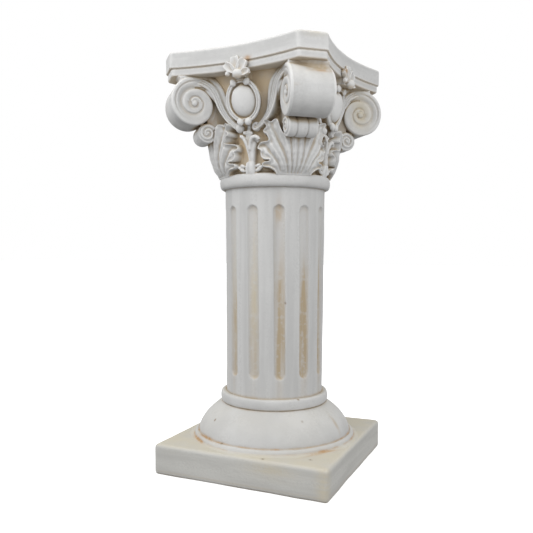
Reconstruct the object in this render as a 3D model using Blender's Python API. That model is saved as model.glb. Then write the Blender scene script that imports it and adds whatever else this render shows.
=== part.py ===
"""Ionic column pedestal: a square plinth, a moulded base, a fluted shaft and a scrolled capital
under a horned abacus, cast in plaster as one piece.

Metres, +Z up. The origin is under the middle of the plinth, one face of the plinth looks along
-Y, and the four corner volutes stand on the diagonals.
"""
import math

import bmesh
import bpy
from mathutils import Vector
from mathutils.kdtree import KDTree

# Plinth
PLINTH_SIDE = 0.331
PLINTH_HEIGHT = 0.055
PLINTH_EDGE = 0.003

# Base mouldings, from the plinth up
STEP_RADIUS = 0.1595
STEP_HEIGHT = 0.0115
DOME_RADIUS = 0.1440
DOME_HEIGHT = 0.0525
DOME_TOP_RADIUS = 0.1000
DOME_SWEEP = 62.0
DOME_BULGE = 1.5
DOME_RISE = 1.25
RING_RADIUS = 0.1026
RING_HEIGHT = 0.0200

# Shaft, a little wider at its top
SHAFT_FOOT_RADIUS = 0.0915
SHAFT_HEAD_RADIUS = 0.0952
SHAFT_HEIGHT = 0.381
FLUTE_COUNT = 12
FLUTE_WIDTH = 0.0180
FLUTE_DEPTH = 0.0042
FLUTE_FOOT_MARGIN = 0.0350
FLUTE_HEAD_MARGIN = 0.0320

# Neck of the capital
ASTRAGAL_RADIUS = 0.1052
ASTRAGAL_HEIGHT = 0.0250
BELL_HEIGHT = 0.1723
BELL_NECK_RADIUS = 0.0930
BELL_LIP_RADIUS = 0.1180

# Abacus: a slab with four horns and hollow sides, over a fascia that is set back
ABACUS_SIDE = 0.3284
ABACUS_HORN_CUT = 0.0367
ABACUS_HOLLOW = 0.0188
ABACUS_EDGE = 0.0025
FASCIA_HEIGHT = 0.0135
FASCIA_SETBACK = 0.0022
SLAB_HEIGHT = 0.0292

# Corner volutes: a wide roll with a spiral on both ends
VOLUTE_TOP_RADIUS = 0.0480
VOLUTE_TURNS = 2.1
VOLUTE_EYE_RADIUS = 0.0085
VOLUTE_WIDTH = 0.0750
VOLUTE_SPLAY = 0.090
VOLUTE_RELIEF = 0.0040
VOLUTE_GROOVE = 0.0030
VOLUTE_NECK_WIDTH = 0.0500
VOLUTE_BITE = 0.0010

# Small rolls under the volutes
ROLL_RADIUS = 0.0180
ROLL_WIDTH = 0.0530
ROLL_DROP = 0.0513
ROLL_SETBACK = 0.0255
ROLL_BAND = 0.0200
ROLL_GROOVE = 0.0020

# Ribbons that fall from the volutes to a curl beside the middle of each face
RIBBON_WIDTH = 0.0135
RIBBON_GROOVE = 0.0020
RIBBON_SPREAD = 0.0295
RIBBON_TUCK = 0.0185
RIBBON_HEAD_OUT = 0.1250
RIBBON_FOOT_OUT = 0.1100
CURL_RADIUS = 0.0088

# Oval cartouche in the middle of each face, its head leaning out
CARTOUCHE_WIDTH = 0.0700
CARTOUCHE_HEIGHT = 0.0780
CARTOUCHE_OUT = 0.1265
CARTOUCHE_DROP = 0.0498
CARTOUCHE_LEAN = 12.0
CARTOUCHE_FRAME = 0.0085
CARTOUCHE_RELIEF = 0.0060
CARTOUCHE_KNOB = 0.0056
CARTOUCHE_DEPTH = 0.0360

# Flower over the cartouche
FLOWER_REACH = 0.0280
FLOWER_OUT = 0.1480
FLOWER_RISE = 0.0100
FLOWER_BALL = 0.0095
PETAL_WIDTH = 0.0176
PETAL_THICKNESS = 0.0104

# Lily under the cartouche
LILY_HEIGHT = 0.0920
LILY_SPREAD = 0.0235
LILY_TRUNK = 0.0120
LILY_OUT = 0.1050
LILY_STALK = 0.0042
LILY_COLLAR = 0.0070
LILY_RELIEF = 0.0050

# Leaf under each volute: a ribbed fan whose outer fingers end in curled lobes
LEAF_HEIGHT = 0.0920
LEAF_FOOT_OUT = 0.1035
LEAF_HEAD_OUT = 0.1345
LEAF_EDGE_OUT = 0.1010
LEAF_HALF_ANGLE = 27.0
FINGER_WIDTH = 0.0095
FINGER_RELIEF = 0.0040
FINGER_CURL = 0.0045

# The casting is turned a little out of true towards its top, clockwise from above
TWIST_DEGREES = 4.75
TWIST_POWER = 1.65

# What a piece reaches into the one that carries it, and the dip of the line between two mouldings
EMBED = 0.0150
DIP = 0.0015

# Facets
ROUND_SIDES = 48
FACETS = 10400
MERGE = 0.000001

FACES = 4
QUARTER = 360.0 / FACES

STEP_Z = PLINTH_HEIGHT
DOME_Z = STEP_Z + STEP_HEIGHT
RING_Z = DOME_Z + DOME_HEIGHT
SHAFT_Z = RING_Z + RING_HEIGHT
ASTRAGAL_Z = SHAFT_Z + SHAFT_HEIGHT
BELL_Z = ASTRAGAL_Z + ASTRAGAL_HEIGHT
FASCIA_Z = BELL_Z + BELL_HEIGHT
SLAB_Z = FASCIA_Z + FASCIA_HEIGHT
TOP_Z = SLAB_Z + SLAB_HEIGHT

HORN_REACH = (ABACUS_SIDE - ABACUS_HORN_CUT) / math.sqrt(2.0)
SPIRAL_RATE = (VOLUTE_TOP_RADIUS - VOLUTE_EYE_RADIUS) / VOLUTE_TURNS
EYE_OUT = HORN_REACH - (VOLUTE_TOP_RADIUS - SPIRAL_RATE / 4)
EYE_Z = FASCIA_Z + VOLUTE_BITE - VOLUTE_TOP_RADIUS
ROLL_OUT = EYE_OUT - ROLL_SETBACK
ROLL_Z = EYE_Z - ROLL_DROP
CARTOUCHE_Z = FASCIA_Z - CARTOUCHE_DROP
ROOT_RADIUS = BELL_NECK_RADIUS - EMBED
FLOWER_Z = FASCIA_Z - FLOWER_RISE


def place(azimuth, across, out, up):
    """Point at a distance out from the axis along an azimuth, moved across it and up."""
    turn = math.radians(azimuth)
    return Vector((
        math.sin(turn) * out + math.cos(turn) * across,
        -math.cos(turn) * out + math.sin(turn) * across,
        up,
    ))


def on_round(azimuth, radius, up):
    """Point on a cylinder about the axis."""
    return place(azimuth, 0.0, radius, up)


def mix(first, second, share):
    """Value at a share of the way from the first to the second."""
    return first + (second - first) * share


def steps(count):
    """Shares from 0 to 1 at equal steps, ends included."""
    return [index / (count - 1) for index in range(count)]


def loft(mesh, rings):
    """Closed solid over rings of points that all have the same count, capped at both ends."""
    rows = [[mesh.verts.new(point) for point in ring] for ring in rings]
    count = len(rows[0])
    faces = [mesh.faces.new(rows[0]), mesh.faces.new(rows[-1])]
    for lower, upper in zip(rows, rows[1:]):
        for index in range(count):
            after = (index + 1) % count
            faces.append(mesh.faces.new((lower[index], lower[after], upper[after], upper[index])))
    bmesh.ops.recalc_face_normals(mesh, faces=faces)


def turned(mesh, profile, sides=ROUND_SIDES):
    """Solid of revolution about the axis, from pairs of radius and height."""
    azimuths = [360.0 * index / sides for index in range(sides)]
    loft(mesh, [[on_round(azimuth, radius, up) for azimuth in azimuths] for radius, up in profile])


def half_round(inner, outer, low, height, count):
    """Pairs of radius and height over a half-round moulding, from its lower edge up."""
    middle = low + height / 2
    return [
        (inner + (outer - inner) * math.sin(math.pi * share), middle - height / 2 * math.cos(math.pi * share))
        for share in steps(count)
    ]


def plinth(mesh):
    """Square block with rounded edges."""
    half = PLINTH_SIDE / 2
    corners = [(-half, -half), (half, -half), (half, half), (-half, half)]
    block = bmesh.new()
    loft(block, [[Vector((x, y, up)) for x, y in corners] for up in (0.0, PLINTH_HEIGHT)])
    bmesh.ops.bevel(block, geom=block.edges[:], offset=PLINTH_EDGE, segments=2, profile=0.5, affect="EDGES")
    copy = bpy.data.meshes.new("block")
    block.to_mesh(copy)
    block.free()
    mesh.from_mesh(copy)
    bpy.data.meshes.remove(copy)


def base(mesh):
    """Low step, swelling dome and ring, which the shaft stands in."""
    profile = [(STEP_RADIUS, STEP_Z - EMBED), (STEP_RADIUS, STEP_Z + STEP_HEIGHT * 0.45)]
    profile.append((mix(STEP_RADIUS, DOME_RADIUS, 0.25), DOME_Z))
    sweep = math.radians(DOME_SWEEP)
    least = math.cos(sweep) ** DOME_BULGE
    for share in steps(7):
        bulge = (math.cos(sweep * share) ** DOME_BULGE - least) / (1 - least)
        rise = (math.sin(sweep * share) / math.sin(sweep)) ** DOME_RISE
        profile.append((mix(DOME_TOP_RADIUS, DOME_RADIUS, bulge), DOME_Z + DOME_HEIGHT * rise))
    profile += half_round(DOME_TOP_RADIUS - 2 * DIP, RING_RADIUS, RING_Z, RING_HEIGHT, 5)[1:-1]
    profile.append((SHAFT_FOOT_RADIUS - EMBED / 2, SHAFT_Z + DIP))
    turned(mesh, profile)


def shaft(mesh):
    """Shaft with round-ended flutes; its grid narrows to each flute's tip."""
    half = FLUTE_WIDTH / 2
    first = SHAFT_Z + FLUTE_FOOT_MARGIN
    last = ASTRAGAL_Z - FLUTE_HEAD_MARGIN
    ends = [(0.0, 0.30, 0.0), (0.35, 0.75, 0.70), (1.0, 1.0, 1.0)]
    rows = [(SHAFT_Z - RING_HEIGHT / 2, 0.30, 0.0)]
    rows += [(first + half * rise, wide, deep) for rise, wide, deep in ends]
    rows.append(((first + last) / 2, 1.0, 1.0))
    rows += [(last - half * rise, wide, deep) for rise, wide, deep in reversed(ends)]
    rows.append((ASTRAGAL_Z + ASTRAGAL_HEIGHT / 2, 0.30, 0.0))
    section = [(-1.0, 0.0), (-0.6, 0.85), (0.0, 1.0), (0.6, 0.85), (1.0, 0.0)]
    pitch = 360.0 / FLUTE_COUNT
    rings = []
    for up, wide, deep in rows:
        radius = mix(SHAFT_FOOT_RADIUS, SHAFT_HEAD_RADIUS, (up - SHAFT_Z) / SHAFT_HEIGHT)
        spread = math.degrees(half / SHAFT_FOOT_RADIUS) * wide
        ring = []
        for flute in range(FLUTE_COUNT):
            for across, depth in section:
                azimuth = pitch * flute + spread * across
                ring.append(on_round(azimuth, radius - FLUTE_DEPTH * depth * deep, up))
            ring.append(on_round(pitch * (flute + 0.5), radius, up))
        rings.append(ring)
    loft(mesh, rings)


def bell(mesh):
    """Astragal and the bell of the capital, which flares to its lip under the abacus."""
    profile = [(SHAFT_HEAD_RADIUS - EMBED / 2, ASTRAGAL_Z - DIP)]
    profile += half_round(SHAFT_HEAD_RADIUS - DIP, ASTRAGAL_RADIUS, ASTRAGAL_Z, ASTRAGAL_HEIGHT, 6)[1:]
    for share in steps(5)[1:]:
        flare = share ** 2.4
        profile.append((mix(BELL_NECK_RADIUS, BELL_LIP_RADIUS, flare), BELL_Z + BELL_HEIGHT * share))
    profile.append((BELL_LIP_RADIUS, FASCIA_Z + FASCIA_HEIGHT / 2))
    turned(mesh, profile)


def abacus_outline(setback):
    """Corners and hollow sides of the abacus, set back evenly, as points in the plane."""
    half = ABACUS_SIDE / 2 - setback
    tip = half - ABACUS_HORN_CUT + setback * (2.0 - math.sqrt(2.0))
    radius = (tip * tip + ABACUS_HOLLOW * ABACUS_HOLLOW) / (2 * ABACUS_HOLLOW)
    sweep = math.degrees(math.asin(tip / radius))
    points = []
    for face in range(FACES):
        for share in steps(9):
            angle = math.radians(mix(-sweep, sweep, share))
            out = half - ABACUS_HOLLOW + radius - radius * math.cos(angle)
            points.append((face * QUARTER, radius * math.sin(angle), out))
    return points


def abacus(mesh):
    """Fascia and slab of the abacus."""
    tiers = [
        (FASCIA_SETBACK, FASCIA_Z),
        (FASCIA_SETBACK, SLAB_Z),
        (ABACUS_EDGE * 0.3, SLAB_Z + ABACUS_EDGE * 0.1),
        (0.0, SLAB_Z + ABACUS_EDGE),
        (0.0, TOP_Z - ABACUS_EDGE),
        (ABACUS_EDGE, TOP_Z),
    ]
    loft(mesh, [[place(*point, up) for point in abacus_outline(setback)] for setback, up in tiers])


def spiral(angle):
    """Radius of the volute's spiral, by the angle in degrees from its top outwards."""
    return VOLUTE_TOP_RADIUS - SPIRAL_RATE * angle / 360.0


def volute_point(azimuth, angle, radius, side):
    """Point of a volute, side being -1 or 1 for its two ends and their splay."""
    turn = math.radians(angle)
    rise = radius * math.cos(turn)
    reach = radius * math.sin(turn)
    half = VOLUTE_WIDTH / 2 + VOLUTE_SPLAY * reach
    return place(azimuth, side * half, EYE_OUT + reach, EYE_Z + rise)


def volute(mesh, azimuth):
    """Rolled band that stands proud of a core, so that both ends show its spiral."""
    turns = 360.0 * VOLUTE_TURNS
    count = int(turns / 22.5)
    rings = []
    for share in steps(count + 1):
        angle = -20.0 + (turns - 20.0) * share
        outer = spiral(angle)
        inner = max(outer - SPIRAL_RATE + VOLUTE_GROOVE, outer * 0.35)
        rings.append([
            volute_point(azimuth, angle, outer, -1),
            volute_point(azimuth, angle, outer, 1),
            volute_point(azimuth, angle, inner, 1),
            volute_point(azimuth, angle, inner, -1),
        ])
    loft(mesh, rings)
    core_radii = [(angle, spiral(angle) - SPIRAL_RATE * 0.4) for angle in range(0, 360, 24)]
    sides = (-1 + 2 * VOLUTE_RELIEF / VOLUTE_WIDTH, 1 - 2 * VOLUTE_RELIEF / VOLUTE_WIDTH)
    loft(mesh, [[volute_point(azimuth, *polar, side) for polar in core_radii] for side in sides])


def volute_neck(mesh, azimuth):
    """Web that ties the volute to the bell and to the abacus."""
    half = VOLUTE_NECK_WIDTH / 2
    low = EYE_Z - VOLUTE_TOP_RADIUS * 0.55
    top = FASCIA_Z + FASCIA_HEIGHT * 0.3
    outline = [
        (ROOT_RADIUS, low),
        (EYE_OUT, low),
        (EYE_OUT + VOLUTE_TOP_RADIUS * 0.3, EYE_Z + VOLUTE_TOP_RADIUS * 0.85),
        (EYE_OUT + VOLUTE_TOP_RADIUS * 0.3, top),
        (ROOT_RADIUS, top),
    ]
    loft(mesh, [[place(azimuth, side * half, out, up) for out, up in outline] for side in (-1, 1)])


def small_roll(mesh, azimuth):
    """Spool of three bands under the volute."""
    half = ROLL_WIDTH / 2
    band = ROLL_BAND / 2
    stations = [
        (-half, ROLL_RADIUS * 0.93),
        (-band - ROLL_GROOVE, ROLL_RADIUS),
        (-band, ROLL_RADIUS - ROLL_GROOVE),
        (-band + ROLL_GROOVE, ROLL_RADIUS),
        (band - ROLL_GROOVE, ROLL_RADIUS),
        (band, ROLL_RADIUS - ROLL_GROOVE),
        (band + ROLL_GROOVE, ROLL_RADIUS),
        (half, ROLL_RADIUS * 0.93),
    ]
    rings = []
    for across, radius in stations:
        ring = []
        for index in range(14):
            turn = 2 * math.pi * index / 14
            out = ROLL_OUT + radius * math.sin(turn)
            ring.append(place(azimuth, across, out, ROLL_Z + radius * math.cos(turn)))
        rings.append(ring)
    loft(mesh, rings)


def smooth(points, count):
    """Points at equal steps of a Catmull-Rom curve through the given points."""
    last = len(points) - 1
    curve = []
    for share in steps(count):
        start = min(int(share * last), last - 1)
        t = share * last - start
        before, first, second, after = (points[min(max(start + offset, 0), last)] for offset in (-1, 0, 1, 2))
        curve.append(0.5 * (
            2 * first
            + (second - before) * t
            + (2 * before - 5 * first + 4 * second - after) * t * t
            + (3 * first - before - 3 * second + after) * t ** 3
        ))
    return curve


def strand(mesh, azimuth, path, half_width, relief):
    """Tapering ridge along a path, rooted in the bell up to where its end curls over."""
    across = place(azimuth, 1.0, 0.0, 0.0)
    outward = place(azimuth, 0.0, 1.0, 0.0)
    last = len(path) - 1
    rings = []
    for index, point in enumerate(path):
        along = (path[min(index + 1, last)] - path[max(index - 1, 0)]).normalized()
        side = (across - along * across.dot(along)).normalized()
        lift = side.cross(along)
        slim = 1.0 - 0.5 * (index / last) ** 2
        section = [(-0.8, 0.3), (-0.3, 1.0), (0.3, 1.0), (0.8, 0.3)]
        ring = [point + side * x * half_width * slim + lift * y * relief * slim for x, y in section]
        depth = point.dot(outward) - ROOT_RADIUS if lift.dot(outward) > 0.8 else relief * slim
        for x in (1.0, -1.0):
            ring.append(point + side * x * half_width * slim - lift * depth)
        rings.append(ring)
    loft(mesh, rings)


def egg(mesh, centre, along, side, depth, sides=8, bands=4):
    """Ellipsoid with three half axes, its poles at the ends of the first."""
    rings = []
    for band in range(bands):
        tilt = math.pi * (band + 0.5) / bands
        ring = []
        for index in range(sides):
            turn = 2 * math.pi * (index + 0.5) / sides
            ring.append(
                centre - along * math.cos(tilt) + side * math.sin(tilt) * math.cos(turn)
                + depth * math.sin(tilt) * math.sin(turn)
            )
        rings.append(ring)
    loft(mesh, rings)


def ball(mesh, azimuth, centre, radius, sides=8):
    """Round knob, a little taller outwards than it is wide."""
    out = place(azimuth, 0.0, radius * 1.1, 0.0)
    egg(mesh, centre, out, place(azimuth, radius, 0.0, 0.0), Vector((0.0, 0.0, radius)), sides)


def ribbon_path():
    """Middle line of a ribbon: across, out and up, from the volute's top down to its curl."""
    reach = VOLUTE_TOP_RADIUS - RIBBON_WIDTH / 2
    route = []
    for angle in (8.0, -22.0):
        point = volute_point(QUARTER / 2, angle, reach, -1)
        route.append((point.x, -point.y, point.z))
    top = route[-1][2]
    fall = top - (CARTOUCHE_Z - CARTOUCHE_HEIGHT * 0.56)
    edge = CARTOUCHE_WIDTH / 2
    bends = [
        (0.0, 0.0, 0.09),
        (0.17, 0.40, 0.36),
        (0.35, 0.60, 0.64),
        (0.55, 0.73, 0.84),
        (0.80, 0.90, 0.97),
        (1.0, 1.0, 1.0),
    ]
    for inward, back, down in bends:
        across = mix(edge + RIBBON_SPREAD, edge - RIBBON_TUCK, inward)
        route.append((across, mix(RIBBON_HEAD_OUT, RIBBON_FOOT_OUT, back), top - fall * down))
    return smooth([Vector(point) for point in route], 10)


def ribbon(mesh, azimuth, side):
    """Grooved band from the volute down beside the cartouche, ending in a curl."""
    path = ribbon_path()
    last = len(path) - 1
    rings = []
    for index, (across, out, up) in enumerate(path):
        along = path[min(index + 1, last)] - path[max(index - 1, 0)]
        length = math.hypot(along.x, along.z)
        half = RIBBON_WIDTH / 2 * mix(1.0, 0.62, index / last)
        round_off = RIBBON_GROOVE / 2
        root = out - ROOT_RADIUS + EMBED / 2
        section = [
            (-1.0, root), (-1.0, round_off), (-0.7, 0.0), (0.0, RIBBON_GROOVE),
            (0.7, 0.0), (1.0, round_off), (1.0, root),
        ]
        ring = []
        for wide, deep in section:
            x = across - wide * half * along.z / length
            z = up + wide * half * along.x / length
            ring.append(place(azimuth, side * x, out - deep, z))
        rings.append(ring)
    loft(mesh, rings)
    across, out, up = path[-1]
    ball(mesh, azimuth, place(azimuth, side * across, out - CURL_RADIUS * 0.4, up), CURL_RADIUS)


def cartouche_point(azimuth, across, along, depth):
    """Point on the leaning shield, from its middle."""
    lean = math.radians(CARTOUCHE_LEAN)
    out = CARTOUCHE_OUT + along * math.sin(lean) + depth * math.cos(lean)
    return place(azimuth, across, out, CARTOUCHE_Z + along * math.cos(lean) - depth * math.sin(lean))


def cartouche(mesh, azimuth):
    """Oval shield: a raised frame around a swelling field, with curls above and below."""
    wide = CARTOUCHE_WIDTH / 2
    tall = CARTOUCHE_HEIGHT / 2
    frame = CARTOUCHE_FRAME
    stations = [
        (0.0, -CARTOUCHE_DEPTH),
        (0.0, -CARTOUCHE_RELIEF * 0.6),
        (frame * 0.30, 0.0),
        (frame * 0.80, 0.0),
        (frame * 1.10, -CARTOUCHE_RELIEF * 0.6),
        (frame * 1.40, CARTOUCHE_RELIEF * 0.05),
        (frame * 2.10, CARTOUCHE_RELIEF * 0.5),
        (frame * 3.20, CARTOUCHE_RELIEF * 0.8),
    ]
    rings = []
    for inset, depth in stations:
        ring = []
        for index in range(20):
            turn = 2 * math.pi * index / 20
            across = (wide - inset) * math.cos(turn)
            ring.append(cartouche_point(azimuth, across, (tall - inset) * math.sin(turn), depth))
        rings.append(ring)
    loft(mesh, rings)
    for end, spread in ((1, 0.0130), (-1, 0.0080)):
        for side in (-1, 1):
            centre = cartouche_point(azimuth, side * spread, end * (tall - frame * 0.5), 0.0)
            ball(mesh, azimuth, centre, CARTOUCHE_KNOB, sides=6)


def flower(mesh, azimuth):
    """Half-open flower: five petals round a ball, over the edge of the abacus."""
    middle = place(azimuth, 0.0, FLOWER_OUT, FLOWER_Z)
    out = place(azimuth, 0.0, 1.0, 0.0)
    for petal in range(5):
        turn = math.radians(petal * 45)
        ray = place(azimuth, math.cos(turn), 0.0, math.sin(turn))
        over = ray.cross(out)
        reach = FLOWER_REACH * (1.0 if petal in (1, 2, 3) else 0.85)
        centre = middle + ray * reach * 0.60
        along = ray * reach * 0.40 + out * PETAL_THICKNESS * 0.15
        egg(mesh, centre, along, over * PETAL_WIDTH / 2, out * PETAL_THICKNESS / 2, sides=6)
    ball(mesh, azimuth, middle + out * FLOWER_BALL * 0.2, FLOWER_BALL)
    back = BELL_LIP_RADIUS - EMBED
    calyx = [(wide, up) for wide in (-1, 1) for up in ((-1, 1) if wide < 0 else (1, -1))]
    half = FLOWER_REACH * 0.5
    loft(mesh, [
        [place(azimuth, half * wide, depth, FLOWER_Z + half * up) for wide, up in calyx]
        for depth in (back, FLOWER_OUT - PETAL_THICKNESS * 0.3)
    ])


def lily(mesh, azimuth):
    """Lily under the cartouche, its stalk reaching up behind it: two petals, trunk and spread foot."""
    stalk_top = (CARTOUCHE_Z - CARTOUCHE_HEIGHT * 0.41 - BELL_Z) / LILY_HEIGHT
    stations = [
        (stalk_top, LILY_STALK, 0.6),
        (0.80, LILY_STALK, 0.2),
        (0.770, LILY_COLLAR, -0.4),
        (0.730, LILY_COLLAR, -0.2),
        (0.700, LILY_TRUNK * 0.83, 0.0),
        (0.560, LILY_TRUNK, 0.0),
        (0.300, LILY_TRUNK * 0.88, 0.4),
        (0.235, LILY_TRUNK, 0.2),
        (0.020, LILY_TRUNK * 1.3, 0.4),
        (-0.020, LILY_TRUNK * 1.1, 0.8),
    ]
    rings = []
    for share, half, sink in stations:
        up = BELL_Z + LILY_HEIGHT * share
        out = LILY_OUT - sink * LILY_RELIEF
        edge = out - LILY_RELIEF
        section = [(-1.0, edge), (-0.5, out), (0.5, out), (1.0, edge)]
        section += [(1.0, ROOT_RADIUS), (-1.0, ROOT_RADIUS)]
        rings.append([place(azimuth, half * across, depth, up) for across, depth in section])
    loft(mesh, rings)
    petal = [(0.25, -0.6, 0.46), (0.40, 0.0, 0.64), (0.68, 0.4, 0.74), (0.95, 0.4, 0.72), (1.0, 0.0, 0.65)]
    outward = place(azimuth, 0.0, 1.0, 0.0)
    for side in (-1, 1):
        path = []
        for wide, rise, up in petal:
            out = LILY_OUT + LILY_RELIEF * rise
            path.append(place(azimuth, side * LILY_SPREAD * wide, out, BELL_Z + LILY_HEIGHT * up))
        points = smooth(path, 6)
        rings = []
        for index, point in enumerate(points):
            along = (points[min(index + 1, 5)] - points[max(index - 1, 0)]).normalized()
            over = along.cross(outward).normalized()
            half = LILY_RELIEF * (1.0 - 0.45 * (index / 5) ** 2)
            root = (ROOT_RADIUS - LILY_OUT) / LILY_RELIEF
            section = [(-1.0, root), (-0.9, -0.2), (0.0, 0.6), (0.9, -0.2), (1.0, root)]
            rings.append([point + over * half * x + outward * LILY_RELIEF * y for x, y in section])
        loft(mesh, rings)
        for wide, up in ((0.72, 0.17), (0.82, 0.05)):
            size = LILY_RELIEF * 1.6
            foot = BELL_Z + LILY_HEIGHT * up
            centre = place(azimuth, side * LILY_SPREAD * wide, LILY_OUT - size, foot)
            along = place(azimuth, side * size, 0.0, size * 0.4)
            over = Vector((0.0, 0.0, size * 0.7))
            egg(mesh, centre, along, over, outward * size, sides=6)


def leaf_out(across, share):
    """Distance of the leaf's blade from the axis, by shares of its half angle and its height."""
    middle = mix(LEAF_FOOT_OUT, LEAF_HEAD_OUT, min(max(share, 0.0), 1.0) ** 0.6)
    return mix(middle, LEAF_EDGE_OUT, min(abs(across), 1.0) ** 1.5)


def finger(mesh, azimuth, foot, tip, height, breadth):
    """Rib of a leaf from its foot azimuth to its tip azimuth; a broad one curls over its tip."""
    path = []
    for share in steps(5):
        turn = mix(foot, tip, share ** 1.2)
        rise = height * share
        radius = leaf_out(turn / LEAF_HALF_ANGLE, rise)
        path.append(on_round(azimuth + turn, radius, BELL_Z + LEAF_HEIGHT * rise))
    if breadth > 1.0:
        turn = azimuth + tip
        radius = leaf_out(tip / LEAF_HALF_ANGLE, height)
        for bend in (70, 130):
            angle = math.radians(180 - bend)
            reach = FINGER_CURL * (1 + math.cos(angle))
            rise = FINGER_CURL * math.sin(angle)
            path.append(on_round(turn, radius + reach, BELL_Z + LEAF_HEIGHT * height + rise))
    strand(mesh, azimuth + (foot + tip) / 2, path, FINGER_WIDTH / 2 * breadth, FINGER_RELIEF)


def leaf(mesh, azimuth):
    """Broad leaf under the volute: a blade on the bell, and a fan of fingers over it."""
    levels = [(-0.02, 0.75), (0.15, 0.95), (0.35, 0.95), (0.55, 1.00), (0.80, 1.00), (0.95, 0.80)]
    rings = []
    for share, spread in levels:
        up = BELL_Z + LEAF_HEIGHT * share
        ring = []
        for side in steps(9):
            across = side * 2 - 1
            ring.append(on_round(azimuth + across * spread * LEAF_HALF_ANGLE, leaf_out(across, share), up))
        for side in (1, -1):
            ring.append(on_round(azimuth + side * spread * LEAF_HALF_ANGLE * 0.8, ROOT_RADIUS, up))
        rings.append(ring)
    loft(mesh, rings)
    finger(mesh, azimuth, 0.0, 0.0, 0.66, 1.0)
    fan = [
        (4.8, 8.0, 0.68, 1.0),
        (9.5, 17.0, 0.95, 1.2),
        (12.5, 27.0, 0.92, 1.5),
        (14.0, 29.0, 0.72, 1.2),
        (17.0, 32.5, 0.48, 1.7),
        (21.0, 32.5, 0.17, 1.5),
    ]
    for foot, tip, height, breadth in fan:
        for side in (-1, 1):
            finger(mesh, azimuth, side * foot, side * tip, height, breadth)


def mouldings(mesh):
    """Base, shaft and abacus, the plain turned and moulded parts."""
    base(mesh)
    shaft(mesh)
    abacus(mesh)


def capital(mesh):
    """Bell of the capital and all that is carved on it."""
    bell(mesh)
    for quarter in range(FACES):
        face = quarter * QUARTER
        corner = face + QUARTER / 2
        volute(mesh, corner)
        volute_neck(mesh, corner)
        small_roll(mesh, corner)
        leaf(mesh, corner)
        cartouche(mesh, face)
        flower(mesh, face)
        lily(mesh, face)
        for side in (-1, 1):
            ribbon(mesh, face, side)


def twist(mesh):
    """Turns each height of the casting about the axis by its share of the twist."""
    for vert in mesh.verts:
        share = min(max(vert.co.z / TOP_Z, 0.0), 1.0)
        angle = -math.radians(TWIST_DEGREES) * share ** TWIST_POWER
        x, y = vert.co.x, vert.co.y
        vert.co.x = x * math.cos(angle) - y * math.sin(angle)
        vert.co.y = x * math.sin(angle) + y * math.cos(angle)


def make_object(name, *builders):
    """Object over all that the builders make, in triangles and turned with the casting."""
    mesh = bmesh.new()
    for build in builders:
        build(mesh)
    bmesh.ops.triangulate(mesh, faces=mesh.faces[:])
    twist(mesh)
    data = bpy.data.meshes.new(name)
    mesh.to_mesh(data)
    mesh.free()
    item = bpy.data.objects.new(name, data)
    bpy.context.scene.collection.objects.link(item)
    return item


def shells(mesh):
    """Sets of the vertices that hang together."""
    waiting = set(mesh.verts)
    groups = []
    while waiting:
        front = [waiting.pop()]
        group = set(front)
        while front:
            vert = front.pop()
            near = {edge.other_vert(vert) for edge in vert.link_edges} - group
            group |= near
            front += near
        waiting -= group
        groups.append(group)
    return groups


def settle(item):
    """Replaces an object's mesh by what its modifiers make of it, without slivers or sealed pockets."""
    graph = bpy.context.evaluated_depsgraph_get()
    data = bpy.data.meshes.new_from_object(item.evaluated_get(graph))
    item.modifiers.clear()
    item.data = data
    mesh = bmesh.new()
    mesh.from_mesh(data)
    bmesh.ops.remove_doubles(mesh, verts=mesh.verts[:], dist=MERGE)
    bmesh.ops.dissolve_degenerate(mesh, edges=mesh.edges[:], dist=MERGE)
    outer = max(shells(mesh), key=len)
    pockets = [vert for vert in mesh.verts if vert not in outer]
    bmesh.ops.delete(mesh, geom=pockets, context="VERTS")
    bmesh.ops.triangulate(mesh, faces=mesh.faces[:])
    mesh.to_mesh(data)
    mesh.free()


def unite(item, other):
    """Puts the union of two objects, and of all shells in them, into the first."""
    union = item.modifiers.new("union", "BOOLEAN")
    union.operation = "UNION"
    union.solver = "EXACT"
    union.use_self = True
    union.object = other
    settle(item)


def thin(item, plain):
    """Thins the carving to the number of facets and keeps every corner of the plain mouldings."""
    corners = KDTree(len(plain.data.vertices))
    for index, vert in enumerate(plain.data.vertices):
        corners.insert(vert.co, index)
    corners.balance()
    carved = item.vertex_groups.new(name="carved")
    loose = [vert.index for vert in item.data.vertices if corners.find(vert.co)[2] > 20 * MERGE]
    carved.add(loose, 1.0, "REPLACE")
    collapse = item.modifiers.new("thin", "DECIMATE")
    collapse.decimate_type = "COLLAPSE"
    collapse.vertex_group = carved.name
    collapse.ratio = min(1.0, FACETS / len(item.data.polygons))
    settle(item)
    item.vertex_groups.clear()


def plaster():
    """Matt off-white plaster."""
    material = bpy.data.materials.new("antique_plaster")
    material.use_nodes = True
    shader = material.node_tree.nodes["Principled BSDF"]
    shader.inputs["Base Color"].default_value = (0.62, 0.61, 0.58, 1.0)
    shader.inputs["Roughness"].default_value = 0.88
    shader.inputs["Metallic"].default_value = 0.0
    return material


def main():
    """Builds the pedestal."""
    for item in list(bpy.data.objects):
        bpy.data.objects.remove(item)
    pedestal = make_object("pedestal", plinth)
    plain = make_object("plain", plinth, mouldings)
    rest = make_object("rest", mouldings, capital)
    unite(pedestal, rest)
    thin(pedestal, plain)
    for item in (plain, rest):
        bpy.data.objects.remove(item)
    pedestal.data.name = "pedestal"
    pedestal.data.materials.clear()
    pedestal.data.materials.append(plaster())
    pedestal.data.shade_smooth()
    pedestal.data.set_sharp_from_angle(angle=math.radians(38))


main()
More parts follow.
